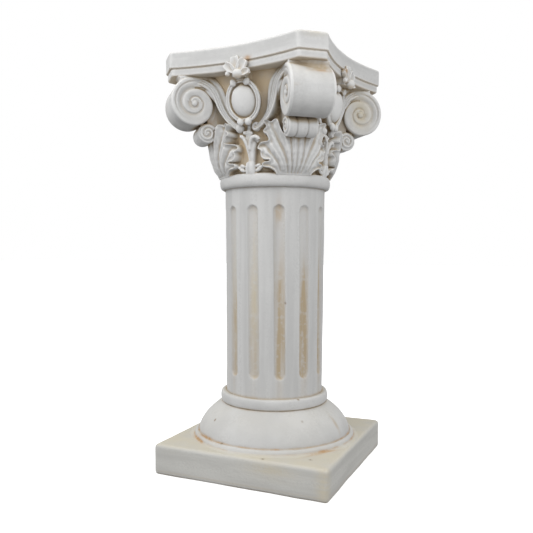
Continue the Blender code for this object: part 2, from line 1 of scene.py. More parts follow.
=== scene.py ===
"""Dresses the ionic column pedestal: one plaster casting with a square plinth, a moulded base,
a fluted shaft and a scrolled capital under a horned abacus, washed with beige in its recesses.

Metres, +Z up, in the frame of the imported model. Carved pieces are modelled as heaps of closed
lofts for a quarter of the capital, repeated round the axis and fused into one soft skin.
"""

import logging
import math
from dataclasses import dataclass
from enum import Enum
from functools import partial

import bmesh
import bpy
import numpy as np
from mathutils import Matrix, Vector
from mathutils.bvhtree import BVHTree

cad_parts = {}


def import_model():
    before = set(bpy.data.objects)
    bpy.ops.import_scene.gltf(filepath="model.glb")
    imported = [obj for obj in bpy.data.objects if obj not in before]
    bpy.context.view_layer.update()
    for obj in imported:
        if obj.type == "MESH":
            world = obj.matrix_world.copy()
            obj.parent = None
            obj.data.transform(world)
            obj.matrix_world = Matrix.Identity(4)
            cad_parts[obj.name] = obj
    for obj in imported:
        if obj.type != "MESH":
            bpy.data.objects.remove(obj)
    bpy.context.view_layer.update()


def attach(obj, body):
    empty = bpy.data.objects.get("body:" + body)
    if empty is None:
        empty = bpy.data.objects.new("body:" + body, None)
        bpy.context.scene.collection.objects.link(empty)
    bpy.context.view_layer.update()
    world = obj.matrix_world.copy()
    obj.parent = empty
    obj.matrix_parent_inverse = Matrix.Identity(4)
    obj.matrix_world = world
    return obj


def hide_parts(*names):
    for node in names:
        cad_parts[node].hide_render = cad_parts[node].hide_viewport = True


LOG = logging.getLogger("pedestal")
FACES = 4
QUARTER = 360.0 / FACES

OUTWARD = np.array([0.0, 1.0, 0.0])
SIDES = (-1, 1)

Object = bpy.types.Object
Mesh = bpy.types.Mesh
Material = bpy.types.Material
Socket = bpy.types.NodeSocket
Feed = Socket | float | int | tuple | Material
Number = np.ndarray | float
Triple = tuple[float, float, float]
Pairs = tuple[tuple[float, float], ...]
Outline = list[tuple[float, float]]


@dataclass(frozen=True)
class Casting:
    """Heights of the casting's mouldings, and its slow turn towards the top."""

    plinth_top: float = 0.055
    step_top: float = 0.0665
    ring_foot: float = 0.119
    shaft_foot: float = 0.139
    astragal_foot: float = 0.520
    bell_foot: float = 0.545
    fascia_foot: float = 0.7173
    slab_foot: float = 0.7308
    top: float = 0.760
    twist: float = 4.75
    twist_power: float = 1.65
    root: float = 0.078
    leaf_radius: float = 0.114
    bell_waist: float = 0.640
    bell_shoulder: float = 0.700
    bell_neck: float = 0.0930
    bell_flare: float = 0.0250
    bell_power: float = 2.4

    def turn_at(self, up: np.ndarray) -> np.ndarray:
        """How far the casting has turned at a height, in radians, clockwise from above."""
        return math.radians(self.twist) * np.clip(up / self.top, 0.0, 1.0) ** self.twist_power

    def turned(self, points: np.ndarray) -> np.ndarray:
        """World points, one per row, turned about the axis by the casting's twist at their height.

        Args:
            points: World points, one per row.

        Returns:
            The points in their new places.
        """
        x, y, up = points.T
        angle = -self.turn_at(up)
        cosine, sine = np.cos(angle), np.sin(angle)
        return np.stack([x * cosine - y * sine, x * sine + y * cosine, up], axis=-1)

    def twist_sizes(self) -> dict[str, float]:
        """The twist as named sizes of a node tree."""
        return {"Twist": math.radians(self.twist), "Power": self.twist_power, "Height": self.top}


CAST = Casting()


def polar(azimuth: Number, radius: Number, up: Number) -> np.ndarray:
    """Local points (across, out, up) from azimuths off the middle, radii and heights.

    Args:
        azimuth: Degrees off the middle line of the piece.
        radius: Distance from the axis.
        up: Height.

    Returns:
        Points, with across, out and up on the last axis.
    """
    azimuth, radius, up = np.broadcast_arrays(azimuth, radius, up)
    turn = np.radians(azimuth)
    return np.stack([radius * np.sin(turn), radius * np.cos(turn), up], axis=-1)


def world(points: np.ndarray, azimuth: float) -> np.ndarray:
    """World points from local ones (across, out, up).

    Args:
        points: Local points, with across, out and up on the last axis.
        azimuth: Where the local frame looks, in degrees; 0 is -Y and 90 is +X.

    Returns:
        Points of the same shape in the world.
    """
    turn = math.radians(azimuth)
    across, out, up = points[..., 0], points[..., 1], points[..., 2]
    x = math.sin(turn) * out + math.cos(turn) * across
    y = -math.cos(turn) * out + math.sin(turn) * across
    return np.stack([x, y, up], axis=-1)


def unit(vectors: np.ndarray) -> np.ndarray:
    """Vectors scaled to length one."""
    return vectors / np.maximum(np.linalg.norm(vectors, axis=-1, keepdims=True), 1e-12)


def spline(points: list[tuple[float, ...]] | np.ndarray, count: int) -> np.ndarray:
    """Points along a Catmull-Rom curve through the given ones, at even steps of its parameter.

    Args:
        points: What the curve passes through, of any dimension.
        count: How many points to give back.

    Returns:
        The points, one per row.
    """
    knots = np.asarray(points, dtype=float)
    last = len(knots) - 1
    share = np.linspace(0.0, last, count)
    start = np.minimum(share.astype(int), last - 1)
    t = (share - start)[:, None]
    before, first = knots[np.maximum(start - 1, 0)], knots[start]
    second, after = knots[start + 1], knots[np.minimum(start + 2, last)]
    return 0.5 * (
        2 * first
        + (second - before) * t
        + (2 * before - 5 * first + 4 * second - after) * t ** 2
        + (3 * first - before - 3 * second + after) * t ** 3
    )


def ramp(low: float, high: float, value: Number) -> np.ndarray:
    """Smooth step from 0 at the low value to 1 at the high one."""
    share = np.clip((np.asarray(value, dtype=float) - low) / (high - low), 0.0, 1.0)
    return share * share * (3.0 - 2.0 * share)


def swept(path: np.ndarray, hint: np.ndarray, section: Outline | np.ndarray, wide: Number = 1.0,
          tall: Number = 1.0) -> np.ndarray:
    """Rings of a section that follows a path.

    Args:
        path: Local points of the path, one per row.
        hint: The way the section's second axis looks, one vector or one for each point.
        section: Closed outline as pairs of shares across the path and off it, one or one for each point.
        wide: What a share of 1 across measures at each point.
        tall: What a share of 1 off the path measures at each point.

    Returns:
        Rings of points: rows along the path, the section's points along the second axis.
    """
    along = unit(np.gradient(path, axis=0))
    side = unit(np.cross(along, np.broadcast_to(hint, path.shape)))
    lift = np.cross(side, along)
    outline = np.asarray(section, dtype=float)
    across = outline[..., 0, None] * np.broadcast_to(wide, len(path))[:, None, None]
    off = outline[..., 1, None] * np.broadcast_to(tall, len(path))[:, None, None]
    return path[:, None, :] + side[:, None, :] * across + lift[:, None, :] * off


def round_section(sides: int = 12) -> Outline:
    """Outline of a full round, for a bead or a rim."""
    turns = np.linspace(0.0, 2 * math.pi, sides, endpoint=False)
    return list(zip(np.cos(turns), np.sin(turns)))


def bead(inner: float, outer: float, low: float, high: float, shares: np.ndarray) -> Outline:
    """Radius and height along a round moulding, at shares of its height.

    Args:
        inner: Radius at its foot and top.
        outer: Its greatest radius.
        low: Height of its foot.
        high: Height of its top.
        shares: Where to give points, from 0 to 1.

    Returns:
        Pairs of radius and height.
    """
    return [(inner + (outer - inner) * math.sin(math.pi * share) ** 0.55,
             (low + high) / 2 - (high - low) / 2 * math.cos(math.pi * share)) for share in shares]


def round_over(edge: float) -> Outline:
    """Pairs of inset and depth along a rounded edge, from the flat face to the upright one."""
    turns = np.linspace(0.0, math.pi / 2, 7)
    return [(edge * (1 - math.sin(turn)), edge * (1 - math.cos(turn))) for turn in turns]


def array_of(rows: bpy.types.bpy_prop_collection, name: str, wide: int,
             kind: type = np.float32) -> np.ndarray:
    """Values of a mesh's vertices or edges.

    Args:
        rows: The vertices or edges.
        name: Which of their values.
        wide: How many numbers each has.
        kind: Type of the numbers.

    Returns:
        The values, one row each.
    """
    found = np.empty(len(rows) * wide, dtype=kind)
    rows.foreach_get(name, found)
    return found.reshape(-1, wide)


class Clay:
    """Heap of closed lofts that may overlap. It becomes one mesh, and later one skin."""

    def __init__(self) -> None:
        """Starts an empty heap."""
        self.points: list[np.ndarray] = []
        self.faces: list[list[int]] = []
        self.count = 0

    def loft(self, rings: np.ndarray, azimuth: float = 0.0) -> None:
        """Adds a closed solid over rings of equal count, capped at both ends.

        Args:
            rings: Local points: rows, points of a ring, and across, out and up.
            azimuth: Where the local frame looks.
        """
        rows, sides = rings.shape[:2]
        index = self.count + np.arange(rows * sides).reshape(rows, sides)
        self.points.append(world(rings, azimuth).reshape(-1, 3))
        self.count += rows * sides
        low, high = index[:-1], index[1:]
        quads = np.stack([low, np.roll(low, -1, axis=1), np.roll(high, -1, axis=1), high], axis=-1)
        self.faces += quads.reshape(-1, 4).tolist()
        self.faces.append(index[0][::-1].tolist())
        self.faces.append(index[-1].tolist())

    def mirrored_loft(self, rings: np.ndarray, azimuth: float = 0.0) -> None:
        """Adds a loft and its mirror image across the middle line."""
        self.loft(rings, azimuth)
        self.loft(rings * np.array([-1.0, 1.0, 1.0]), azimuth)

    def egg(self, centre: tuple[float, ...] | np.ndarray, along: tuple[float, ...], side: tuple[float, ...],
            depth: tuple[float, ...], azimuth: float = 0.0) -> None:
        """Adds an ellipsoid from its centre and three half axes, all local.

        Args:
            centre: Middle of the ellipsoid.
            along: Half axis that runs through its poles.
            side: Second half axis.
            depth: Third half axis.
            azimuth: Where the local frame looks.
        """
        tilt = np.linspace(0.04, math.pi - 0.04, 15)[:, None, None]
        turn = np.linspace(0.0, 2 * math.pi, 20, endpoint=False)[None, :, None]
        rings = (
            np.asarray(centre) - np.asarray(along) * np.cos(tilt)
            + np.asarray(side) * np.sin(tilt) * np.cos(turn)
            + np.asarray(depth) * np.sin(tilt) * np.sin(turn)
        )
        self.loft(rings, azimuth)

    def ball(self, centre: tuple[float, ...] | np.ndarray, radius: float, azimuth: float = 0.0) -> None:
        """Adds a round ball."""
        self.egg(centre, (0.0, 0.0, radius), (radius, 0.0, 0.0), (0.0, radius, 0.0), azimuth)

    def mesh(self, name: str) -> Mesh:
        """Mesh of all lofts in the heap.

        Args:
            name: The mesh's name.

        Returns:
            The mesh.
        """
        data = bpy.data.meshes.new(name)
        data.from_pydata(np.concatenate(self.points).tolist(), [], self.faces)
        return data


def plain_mesh(item: Object) -> None:
    """Bakes an object's modifiers into its mesh and removes them.

    Args:
        item: The object.
    """
    graph = bpy.context.evaluated_depsgraph_get()
    data = bpy.data.meshes.new_from_object(item.evaluated_get(graph))
    item.modifiers.clear()
    item.data = data


def new_object(name: str, data: bpy.types.ID) -> Object:
    """Object at the origin over a mesh, lamp or camera, linked to the scene.

    Args:
        name: The object's name.
        data: What it shows.

    Returns:
        The object.
    """
    item = bpy.data.objects.new(name, data)
    bpy.context.scene.collection.objects.link(item)
    return item


def largest_shell(item: Object) -> None:
    """Drops sealed pockets and crumbs, and keeps the skin that holds most vertices.

    Args:
        item: The object.
    """
    mesh = bmesh.new()
    mesh.from_mesh(item.data)
    waiting = set(mesh.verts)
    groups = []
    while waiting:
        front = [waiting.pop()]
        group = set(front)
        while front:
            vert = front.pop()
            near = {edge.other_vert(vert) for edge in vert.link_edges} - group
            group |= near
            front += near
        waiting -= group
        groups.append(group)
    kept = max(groups, key=len)
    bmesh.ops.delete(mesh, geom=[vert for vert in mesh.verts if vert not in kept], context="VERTS")
    mesh.to_mesh(item.data)
    mesh.free()


class Graph:
    """Node tree under construction."""

    def __init__(self, group: bpy.types.NodeTree) -> None:
        """Takes the tree that nodes are added to."""
        self.group = group

    def feed(self, node: bpy.types.Node, feeds: dict[str | int, Feed]) -> None:
        """Sets or links a node's inputs, by their names or places.

        Args:
            node: The node.
            feeds: Values or sockets by the name or place of the node's input.
        """
        for key, value in feeds.items():
            if isinstance(value, Socket):
                self.group.links.new(value, node.inputs[key])
            else:
                node.inputs[key].default_value = value

    def node(self, kind: str, feeds: dict[str | int, Feed] | None = None,
             **settings: str | bool) -> bpy.types.Node:
        """Adds a node and feeds its sockets.

        Args:
            kind: The node's type.
            feeds: Values or sockets by the name or place of the node's input.
            **settings: The node's own properties.

        Returns:
            The node.
        """
        made = self.group.nodes.new(kind)
        for name, value in settings.items():
            setattr(made, name, value)
        self.feed(made, feeds or {})
        return made

    def math(self, operation: str, first: Feed, second: Feed = 0.0, **settings: bool) -> Socket:
        """Result of a Math node."""
        return self.node("ShaderNodeMath", {0: first, 1: second}, operation=operation, **settings).outputs[0]

    def remap(self, value: Socket, *ends: Feed, **settings: str) -> Socket:
        """Value taken from between two ends to between two others, or to 0 and 1, and held there."""
        return self.node("ShaderNodeMapRange", dict(enumerate((value, *ends))), **settings).outputs[0]


class Tree(Graph):
    """Geometry node tree under construction, with named inputs for its sizes."""

    def __init__(self, name: str) -> None:
        """Starts a tree that takes a geometry and gives one back.

        Args:
            name: The tree's name.
        """
        super().__init__(bpy.data.node_groups.new(name, "GeometryNodeTree"))
        for way in ("INPUT", "OUTPUT"):
            self.group.interface.new_socket("Geometry", in_out=way, socket_type="NodeSocketGeometry")
        self.given = self.node("NodeGroupInput")
        self.result = self.node("NodeGroupOutput")
        self.position = self.node("GeometryNodeInputPosition").outputs[0]

    def size(self, name: str, kind: str = "Float") -> Socket:
        """Adds a named input.

        Args:
            name: The input's name.
            kind: Float, Int or Material.

        Returns:
            The socket that gives it inside the tree.
        """
        self.group.interface.new_socket(name, in_out="INPUT", socket_type=f"NodeSocket{kind}")
        return self.given.outputs[name]

    def drum(self) -> tuple[Socket, ...]:
        """Upright cylinder of radius 1 between heights -1 and 1.

        Returns:
            Its mesh, and the three coordinates of its points.
        """
        mesh = self.node("GeometryNodeMeshCylinder", {
            "Vertices": self.size("Sides", "Int"), "Side Segments": self.size("Rows", "Int"),
            "Radius": 1.0, "Depth": 2.0,
        }).outputs["Mesh"]
        return mesh, *self.node("ShaderNodeSeparateXYZ", {0: self.position}).outputs

    def ringed(self, x: Socket, y: Socket, radius: Socket, up: Socket) -> Socket:
        """Position of a drum's point brought to a radius and a height.

        Args:
            x: The point's X on the drum.
            y: Its Y on the drum.
            radius: The radius it goes to.
            up: The height it goes to.

        Returns:
            The socket of the new position.
        """
        return self.node("ShaderNodeCombineXYZ", {
            "X": self.math("MULTIPLY", x, radius), "Y": self.math("MULTIPLY", y, radius), "Z": up,
        }).outputs[0]

    def twisted(self, position: Socket, up: Socket) -> Socket:
        """Position turned about the axis by the casting's twist at its height.

        Args:
            position: The position.
            up: Its height.

        Returns:
            The socket of the turned position.
        """
        twist, power, height = self.size("Twist"), self.size("Power"), self.size("Height")
        share = self.remap(self.math("DIVIDE", up, height), 0.0, 1.0)
        angle = self.math("MULTIPLY", self.math("POWER", share, power), self.math("MULTIPLY", twist, -1.0))
        feeds = {"Vector": position, "Angle": angle}
        return self.node("ShaderNodeVectorRotate", feeds, rotation_type="Z_AXIS").outputs[0]

    def finish(self, geometry: Socket, **move: Socket) -> bpy.types.GeometryNodeTree:
        """Moves the points and ends the tree in Realize Instances and Set Material.

        Args:
            geometry: What the tree has made.
            **move: The points' new Position, or their Offset.

        Returns:
            The finished tree.
        """
        moved = self.node("GeometryNodeSetPosition", {"Geometry": geometry, **move})
        real = self.node("GeometryNodeRealizeInstances", {"Geometry": moved.outputs[0]})
        material = self.size("Material", "Material")
        dressed = self.node("GeometryNodeSetMaterial", {"Geometry": real.outputs[0], "Material": material})
        self.feed(self.result, {"Geometry": dressed.outputs[0]})
        return self.group


def run_tree(item: Object, tree: bpy.types.GeometryNodeTree, sizes: dict[str, Feed]) -> None:
    """Runs a tree on an object and keeps the result as its plain mesh.

    Args:
        item: The object.
        tree: The tree.
        sizes: Values for the tree's named inputs.
    """
    inputs = (socket for socket in tree.interface.items_tree if socket.in_out == "INPUT")
    names = {socket.name: socket.identifier for socket in inputs}
    modifier = item.modifiers.new(tree.name, "NODES")
    modifier.node_group = tree
    for name, value in sizes.items():
        modifier[names[name]] = value
    plain_mesh(item)


def ring_of_quarters() -> bpy.types.GeometryNodeTree:
    """Tree that repeats a quarter of the carving round the axis and turns it with the casting.

    Returns:
        The finished tree.
    """
    tree = Tree("ring_of_quarters")
    count = tree.size("Count", "Int")
    spots = tree.node("GeometryNodeMeshLine", {"Count": count, "Offset": (0.0, 0.0, 0.0)})
    step = tree.math("DIVIDE", 2 * math.pi, count)
    index = tree.node("GeometryNodeInputIndex").outputs[0]
    turn = tree.node("ShaderNodeCombineXYZ", {"Z": tree.math("MULTIPLY", step, index)})
    copies = tree.node("GeometryNodeInstanceOnPoints", {
        "Points": spots.outputs[0], "Instance": tree.given.outputs["Geometry"], "Rotation": turn.outputs[0],
    })
    real = tree.node("GeometryNodeRealizeInstances", {"Geometry": copies.outputs[0]})
    up = tree.node("ShaderNodeSeparateXYZ", {0: tree.position}).outputs["Z"]
    return tree.finish(real.outputs[0], Position=tree.twisted(tree.position, up))


def turned_profile() -> bpy.types.GeometryNodeTree:
    """Tree that turns a profile, a line of vertices with radius as X and height as Z, about the axis.

    Returns:
        The finished tree.
    """
    tree = Tree("turned_profile")
    curve = tree.node("GeometryNodeMeshToCurve", {"Mesh": tree.given.outputs["Geometry"]}).outputs[0]
    drum, x, y, z = tree.drum()
    share = tree.remap(z, -1.0, 1.0)
    spot = tree.node("GeometryNodeSampleCurve", {"Curves": curve, "Factor": share}, mode="FACTOR")
    placed = tree.node("ShaderNodeSeparateXYZ", {0: spot.outputs["Position"]})
    return tree.finish(drum, Position=tree.ringed(x, y, placed.outputs["X"], placed.outputs["Z"]))


def fluted_drum() -> bpy.types.GeometryNodeTree:
    """Tree of the shaft: a drum that widens upwards, with round-ended flutes cut into it.

    Returns:
        The finished tree.
    """
    tree = Tree("fluted_drum")
    foot, head, low, high, width, depth, first, last, crowding, fullness = (tree.size(name) for name in (
        "Foot radius", "Head radius", "Low", "High", "Flute width", "Flute depth", "Flute foot", "Flute head",
        "Crowding", "Fullness",
    ))
    drum, x, y, z = tree.drum()
    plus, minus, times = (partial(tree.math, operation) for operation in ("ADD", "SUBTRACT", "MULTIPLY"))
    level = plus(z, times(tree.math("SINE", times(z, math.pi)), crowding))
    up = tree.remap(level, -1.0, 1.0, low, high)
    radius = tree.remap(level, -1.0, 1.0, foot, head)
    pitch = tree.math("DIVIDE", 2 * math.pi, tree.size("Flutes", "Int"))
    cell = tree.math("DIVIDE", tree.math("ARCTAN2", y, x), pitch)
    offset = minus(tree.math("FRACT", plus(cell, 0.5)), 0.5)
    across = times(times(offset, pitch), radius)
    half = times(width, 0.5)
    middle = times(plus(first, last), 0.5)
    straight = minus(times(minus(last, first), 0.5), half)
    past = tree.math("MAXIMUM", minus(tree.math("ABSOLUTE", minus(up, middle)), straight), 0.0)
    share = tree.math("DIVIDE", tree.math("SQRT", plus(times(across, across), times(past, past))), half)
    within = tree.math("MAXIMUM", minus(1.0, times(share, share)), 0.0)
    reach = minus(radius, times(tree.math("POWER", within, fullness), depth))
    return tree.finish(drum, Position=tree.twisted(tree.ringed(x, y, reach, up), up))


def hand_finish() -> bpy.types.GeometryNodeTree:
    """Tree that gives a skin the slight waviness of a hand-finished casting.

    Returns:
        The finished tree.
    """
    tree = Tree("hand_finish")
    depth, scale, seed = tree.size("Depth"), tree.size("Scale"), tree.size("Seed")
    noise = tree.node("ShaderNodeTexNoise", {"W": seed, "Scale": scale, "Detail": 3.0}, noise_dimensions="4D")
    rise = tree.math("MULTIPLY", tree.math("SUBTRACT", noise.outputs[0], 0.5), depth)
    normal = tree.node("GeometryNodeInputNormal").outputs[0]
    offset = tree.node("ShaderNodeVectorMath", {0: normal, "Scale": rise}, operation="SCALE").outputs[0]
    return tree.finish(tree.given.outputs["Geometry"], Offset=offset)


class Streak(Enum):
    """Which way the brush ran when the wash was wiped off."""

    UPRIGHT = (130.0, 130.0, 9.0)
    LEVEL = (14.0, 14.0, 150.0)
    NONE = (34.0, 34.0, 34.0)


class Shading(Graph):
    """Shader nodes of a material, on Object coordinates and on attributes of the vertices."""

    def __init__(self, material: Material) -> None:
        """Takes the material whose tree is built."""
        super().__init__(material.node_tree)
        self.spot = self.node("ShaderNodeTexCoord").outputs["Object"]

    def attribute(self, name: str) -> Socket:
        """Value of a vertex attribute."""
        return self.node("ShaderNodeAttribute", attribute_name=name).outputs["Fac"]

    def noise(self, scale: float, detail: float, stretch: Triple = (1.0, 1.0, 1.0)) -> Socket:
        """Noise of a scale, stretched along an axis."""
        spot = self.node("ShaderNodeMapping", {"Vector": self.spot, "Scale": stretch}).outputs[0]
        return self.node("ShaderNodeTexNoise", {"Vector": spot, "Scale": scale, "Detail": detail}).outputs[0]

    def soft(self, value: Socket, *ends: float) -> Socket:
        """Smooth step of a value between two ends, up to 0 and 1 or to two more."""
        return self.remap(value, *ends, interpolation_type="SMOOTHSTEP")

    def product(self, first: Socket, second: Socket) -> Socket:
        """Product of two values, held between 0 and 1."""
        return self.math("MULTIPLY", first, second, use_clamp=True)

    def layered(self, ground: Triple, layers: list[tuple[Socket, Triple]]) -> Socket:
        """Colour of a ground under layers.

        Args:
            ground: The ground's colour.
            layers: Share and colour of each layer, the lowest first.

        Returns:
            The colour.
        """
        found = (*ground, 1.0)
        for share, colour in layers:
            mixed = self.node("ShaderNodeMix", {0: share, 6: found, 7: (*colour, 1.0)}, data_type="RGBA")
            found = mixed.outputs[2]
        return found


@dataclass(frozen=True)
class AntiquePlaster:
    """Matt grey-white plaster with a beige-brown wash left in its recesses, painted shade in the deepest ones
    and at pinholes, painted highlights on its edges, and a lighter tan as painted light under the abacus.
    """

    streak: Streak
    plaster: Triple = (0.55, 0.55, 0.545)
    # Lighter plaster for sharp ridges and edges: wash rubbed off them, and painted highlight.
    rubbed_and_highlit: Triple = (0.64, 0.64, 0.635)
    wash: Triple = (0.42, 0.34, 0.235)
    # Dark brown for the deepest recesses: wash pooled thicker there, and painted shade.
    deep_wash_and_shade: Triple = (0.24, 0.18, 0.12)
    shelf: Triple = (0.54, 0.505, 0.415)
    cream: Triple = (0.54, 0.49, 0.38)
    rust: Triple = (0.42, 0.26, 0.13)
    # Light tan for the undersides under the abacus and the bare bell: the real wash, lightened as painted
    # light where the lamps leave them too dark.
    tan_wash_and_painted_light: Triple = (0.64, 0.52, 0.36)
    dulled: float = 0.88

    def material(self) -> Material:
        """Material with its colour, roughness and bump from nodes on Object coordinates.

        Returns:
            The material.
        """
        material = bpy.data.materials.new(f"antique_plaster_{self.streak.name.lower()}")
        material.use_nodes = True
        graph, streak = Shading(material), self.streak.value
        noise, soft, product, attribute = graph.noise, graph.soft, graph.product, graph.attribute
        broken = soft(noise(1.0, 4.0, streak), 0.32, 0.62, 0.62, 1.0)
        patches = product(soft(noise(0.8, 6.0, streak), 0.34, 0.58, 0.45, 1.0),
                          soft(noise(120.0, 5.0), 0.32, 0.50, 0.55, 1.0))
        speckled = product(soft(noise(1.0, 5.0, streak), 0.42, 0.68, 0.10, 0.75),
                           soft(noise(260.0, 4.0), 0.40, 0.62))
        dull = tuple(self.dulled * part for part in self.plaster)
        colour = graph.layered(self.plaster, [
            (soft(noise(0.35, 6.0, streak), 0.38, 0.64), dull),
            (speckled, dull),
            (product(attribute("shelf"), soft(noise(18.0, 4.0), 0.25, 0.6, 0.4, 1.0)), self.shelf),
            # Ridges and edges lightened: rubbed wash and painted highlight.
            (attribute("edge"), self.rubbed_and_highlit),
            (product(attribute("cream"), patches), self.cream),
            # Undersides and bare bell in light tan: wash and painted light.
            (product(attribute("tan_wash_and_painted_light"), broken), self.tan_wash_and_painted_light),
            (product(attribute("wash"), broken), self.wash),
            (product(attribute("stain"), patches), self.wash),
            # Deep recesses darkened: thicker wash and painted shade.
            (product(attribute("deep"), patches), self.deep_wash_and_shade),
            (product(attribute("rust"), patches), self.rust),
            # Pinholes painted dark: wash and painted shade.
            (attribute("pinhole_wash_and_shade"), self.deep_wash_and_shade),
        ])
        grain = graph.math("ADD", noise(230.0, 7.0), noise(1.2, 4.0, streak))
        bump = graph.node("ShaderNodeBump", {"Strength": 0.55, "Distance": 0.0006, "Height": grain})
        graph.feed(material.node_tree.nodes["Principled BSDF"], {
            "Metallic": 0.0, "Specular IOR Level": 0.25, "Base Color": colour,
            "Roughness": soft(noise(60.0, 4.0), 0.3, 0.7, 0.80, 0.93), "Normal": bump.outputs[0],
        })
        return material


@dataclass
class SubAssembly:
    """A piece of the casting, with its finish, the waves of its surface and the grain of its skin."""

    name: str
    finish: AntiquePlaster
    wave: float = 0.0005
    wave_scale: float = 22.0
    grain: float = 0.0009
    triangles: int = 195000

    def shape(self, material: Material) -> Object:
        """Builds the bare piece. Each sub-assembly has its own way."""
        raise NotImplementedError

    def fused(self, heaps: list[Mesh]) -> Object:
        """One closed skin round overlapping solids, softened as a casting is.

        Args:
            heaps: Meshes of closed solids.

        Returns:
            The skin's object, thinned to the piece's number of triangles.
        """
        mesh = bmesh.new()
        for heap in heaps:
            mesh.from_mesh(heap)
        data = bpy.data.meshes.new(self.name)
        mesh.to_mesh(data)
        mesh.free()
        item = new_object(self.name, data)
        skin = item.modifiers.new("skin", "REMESH")
        skin.mode = "VOXEL"
        skin.voxel_size = self.grain
        soften = item.modifiers.new("soften", "SMOOTH")
        soften.factor = 0.5
        soften.iterations = 1
        plain_mesh(item)
        found = 2 * len(item.data.polygons)
        if found > self.triangles:
            thin = item.modifiers.new("thin", "DECIMATE")
            thin.ratio = self.triangles / found
            plain_mesh(item)
        largest_shell(item)
        item.data.shade_smooth()
        return item

    def build(self) -> Object:
        """Builds the piece and dresses it.

        Returns:
            The piece's object, at the origin.
        """
        material = self.finish.material()
        item = self.shape(material)
        item.name = self.name
        run_tree(item, hand_finish(), {
            "Depth": self.wave, "Scale": self.wave_scale, "Seed": float(len(self.name)), "Material": material,
        })
        data = item.data
        spots = array_of(data.vertices, "co", 3)
        spots[:, 2] = np.clip(spots[:, 2], 0.0, CAST.top)
        data.vertices.foreach_set("co", spots.ravel())
        data.name = self.name
        data.materials.clear()
        data.materials.append(material)
        data.shade_smooth()
        return item


@dataclass
class Plinth(SubAssembly):
    """Square block with worn, rounded edges."""

    side: float = 0.331
    height: float = 0.055
    edge: float = 0.0056
    least_edge: float = 0.0012
    grain: float = 0.0016
    triangles: int = 80000

    def outline(self, inset: float, up: float) -> np.ndarray:
        """Square with rounded corners, at an inset from the block's faces.

        Args:
            inset: How far the outline lies inside the faces.
            up: Its height.

        Returns:
            Local points.
        """
        half = self.side / 2 - inset
        radius = max(self.edge - inset * 0.5, self.least_edge)
        middle = (half - radius) * math.sqrt(2.0)
        corners = []
        for corner in range(FACES):
            turn = np.radians(np.linspace(0.0, QUARTER, 14) + QUARTER * corner)
            aim = math.radians(QUARTER * (corner + 0.5))
            corners.append(np.stack([
                middle * math.cos(aim) + radius * np.cos(turn),
                middle * math.sin(aim) + radius * np.sin(turn),
                np.full(turn.size, up),
            ], axis=-1))
        return np.concatenate(corners)

    def shape(self, material: Material) -> Object:
        """Block from its underside up, as one skin.

        Args:
            material: The piece's material. Not used here.

        Returns:
            The block's object.
        """
        low = round_over(self.edge)
        tiers = low + [(inset, self.height - up) for inset, up in reversed(low)]
        clay = Clay()
        clay.loft(np.stack([self.outline(inset, up) for inset, up in tiers]))
        return self.fused([clay.mesh(self.name)])


@dataclass
class Base(SubAssembly):
    """Low step, swelling dome and ring, turned about the axis."""

    step_radius: float = 0.1520
    skirt: float = 0.0100
    dome_radius: float = 0.1440
    dome_top_radius: float = 0.1000
    dome_sweep: float = 62.0
    dome_bulge: float = 1.5
    dome_rise: float = 1.25
    ring_radius: float = 0.1026
    foot: float = 0.0150

    def profile(self) -> Outline:
        """Radius and height from the foot inside the plinth up to the shaft.

        Returns:
            Pairs of radius and height.
        """
        plinth, step, ring, shaft = CAST.plinth_top, CAST.step_top, CAST.ring_foot, CAST.shaft_foot
        line = [(self.step_radius + out, plinth + up) for out, up in (
            (self.skirt, -self.foot), (self.skirt, -0.0004), (0.0070, 0.0003), (0.0040, 0.0012),
            (0.0018, 0.0026), (0.0006, 0.0040), (0.0000, 0.0060), (-0.0012, 0.0078), (-0.0030, 0.0090),
            (-0.0048, 0.0095),
        )]
        line += [(self.dome_radius + 0.0016, step - 0.0020), (self.dome_radius + 0.0004, step - 0.0018)]
        sweep = math.radians(self.dome_sweep)
        least = math.cos(sweep) ** self.dome_bulge
        for share in np.linspace(0.0, 1.0, 24):
            bulge = (math.cos(sweep * share) ** self.dome_bulge - least) / (1 - least)
            rise = (math.sin(sweep * share) / math.sin(sweep)) ** self.dome_rise
            radius = self.dome_top_radius + (self.dome_radius - self.dome_top_radius) * bulge
            line.append((radius, step + (ring - step) * rise))
        inner = self.dome_top_radius - 0.0030
        line.append((inner + 0.0012, ring + 0.0004))
        line += bead(inner, self.ring_radius, ring, shaft, np.linspace(0.0, 1.0, 22)[1:-1])
        return line + [(inner - 0.0045, shaft + 0.0002), (inner - 0.0120, shaft + 0.0003)]

    def shape(self, material: Material) -> Object:
        """Profile turned about the axis.

        Args:
            material: The piece's material.

        Returns:
            The base's object.
        """
        line = self.profile()
        data = bpy.data.meshes.new(self.name)
        edges = [(index, index + 1) for index in range(len(line) - 1)]
        data.from_pydata([(radius, 0.0, up) for radius, up in line], edges, [])
        item = new_object(self.name, data)
        run_tree(item, turned_profile(), {"Sides": 480, "Rows": 110, "Material": material})
        return item


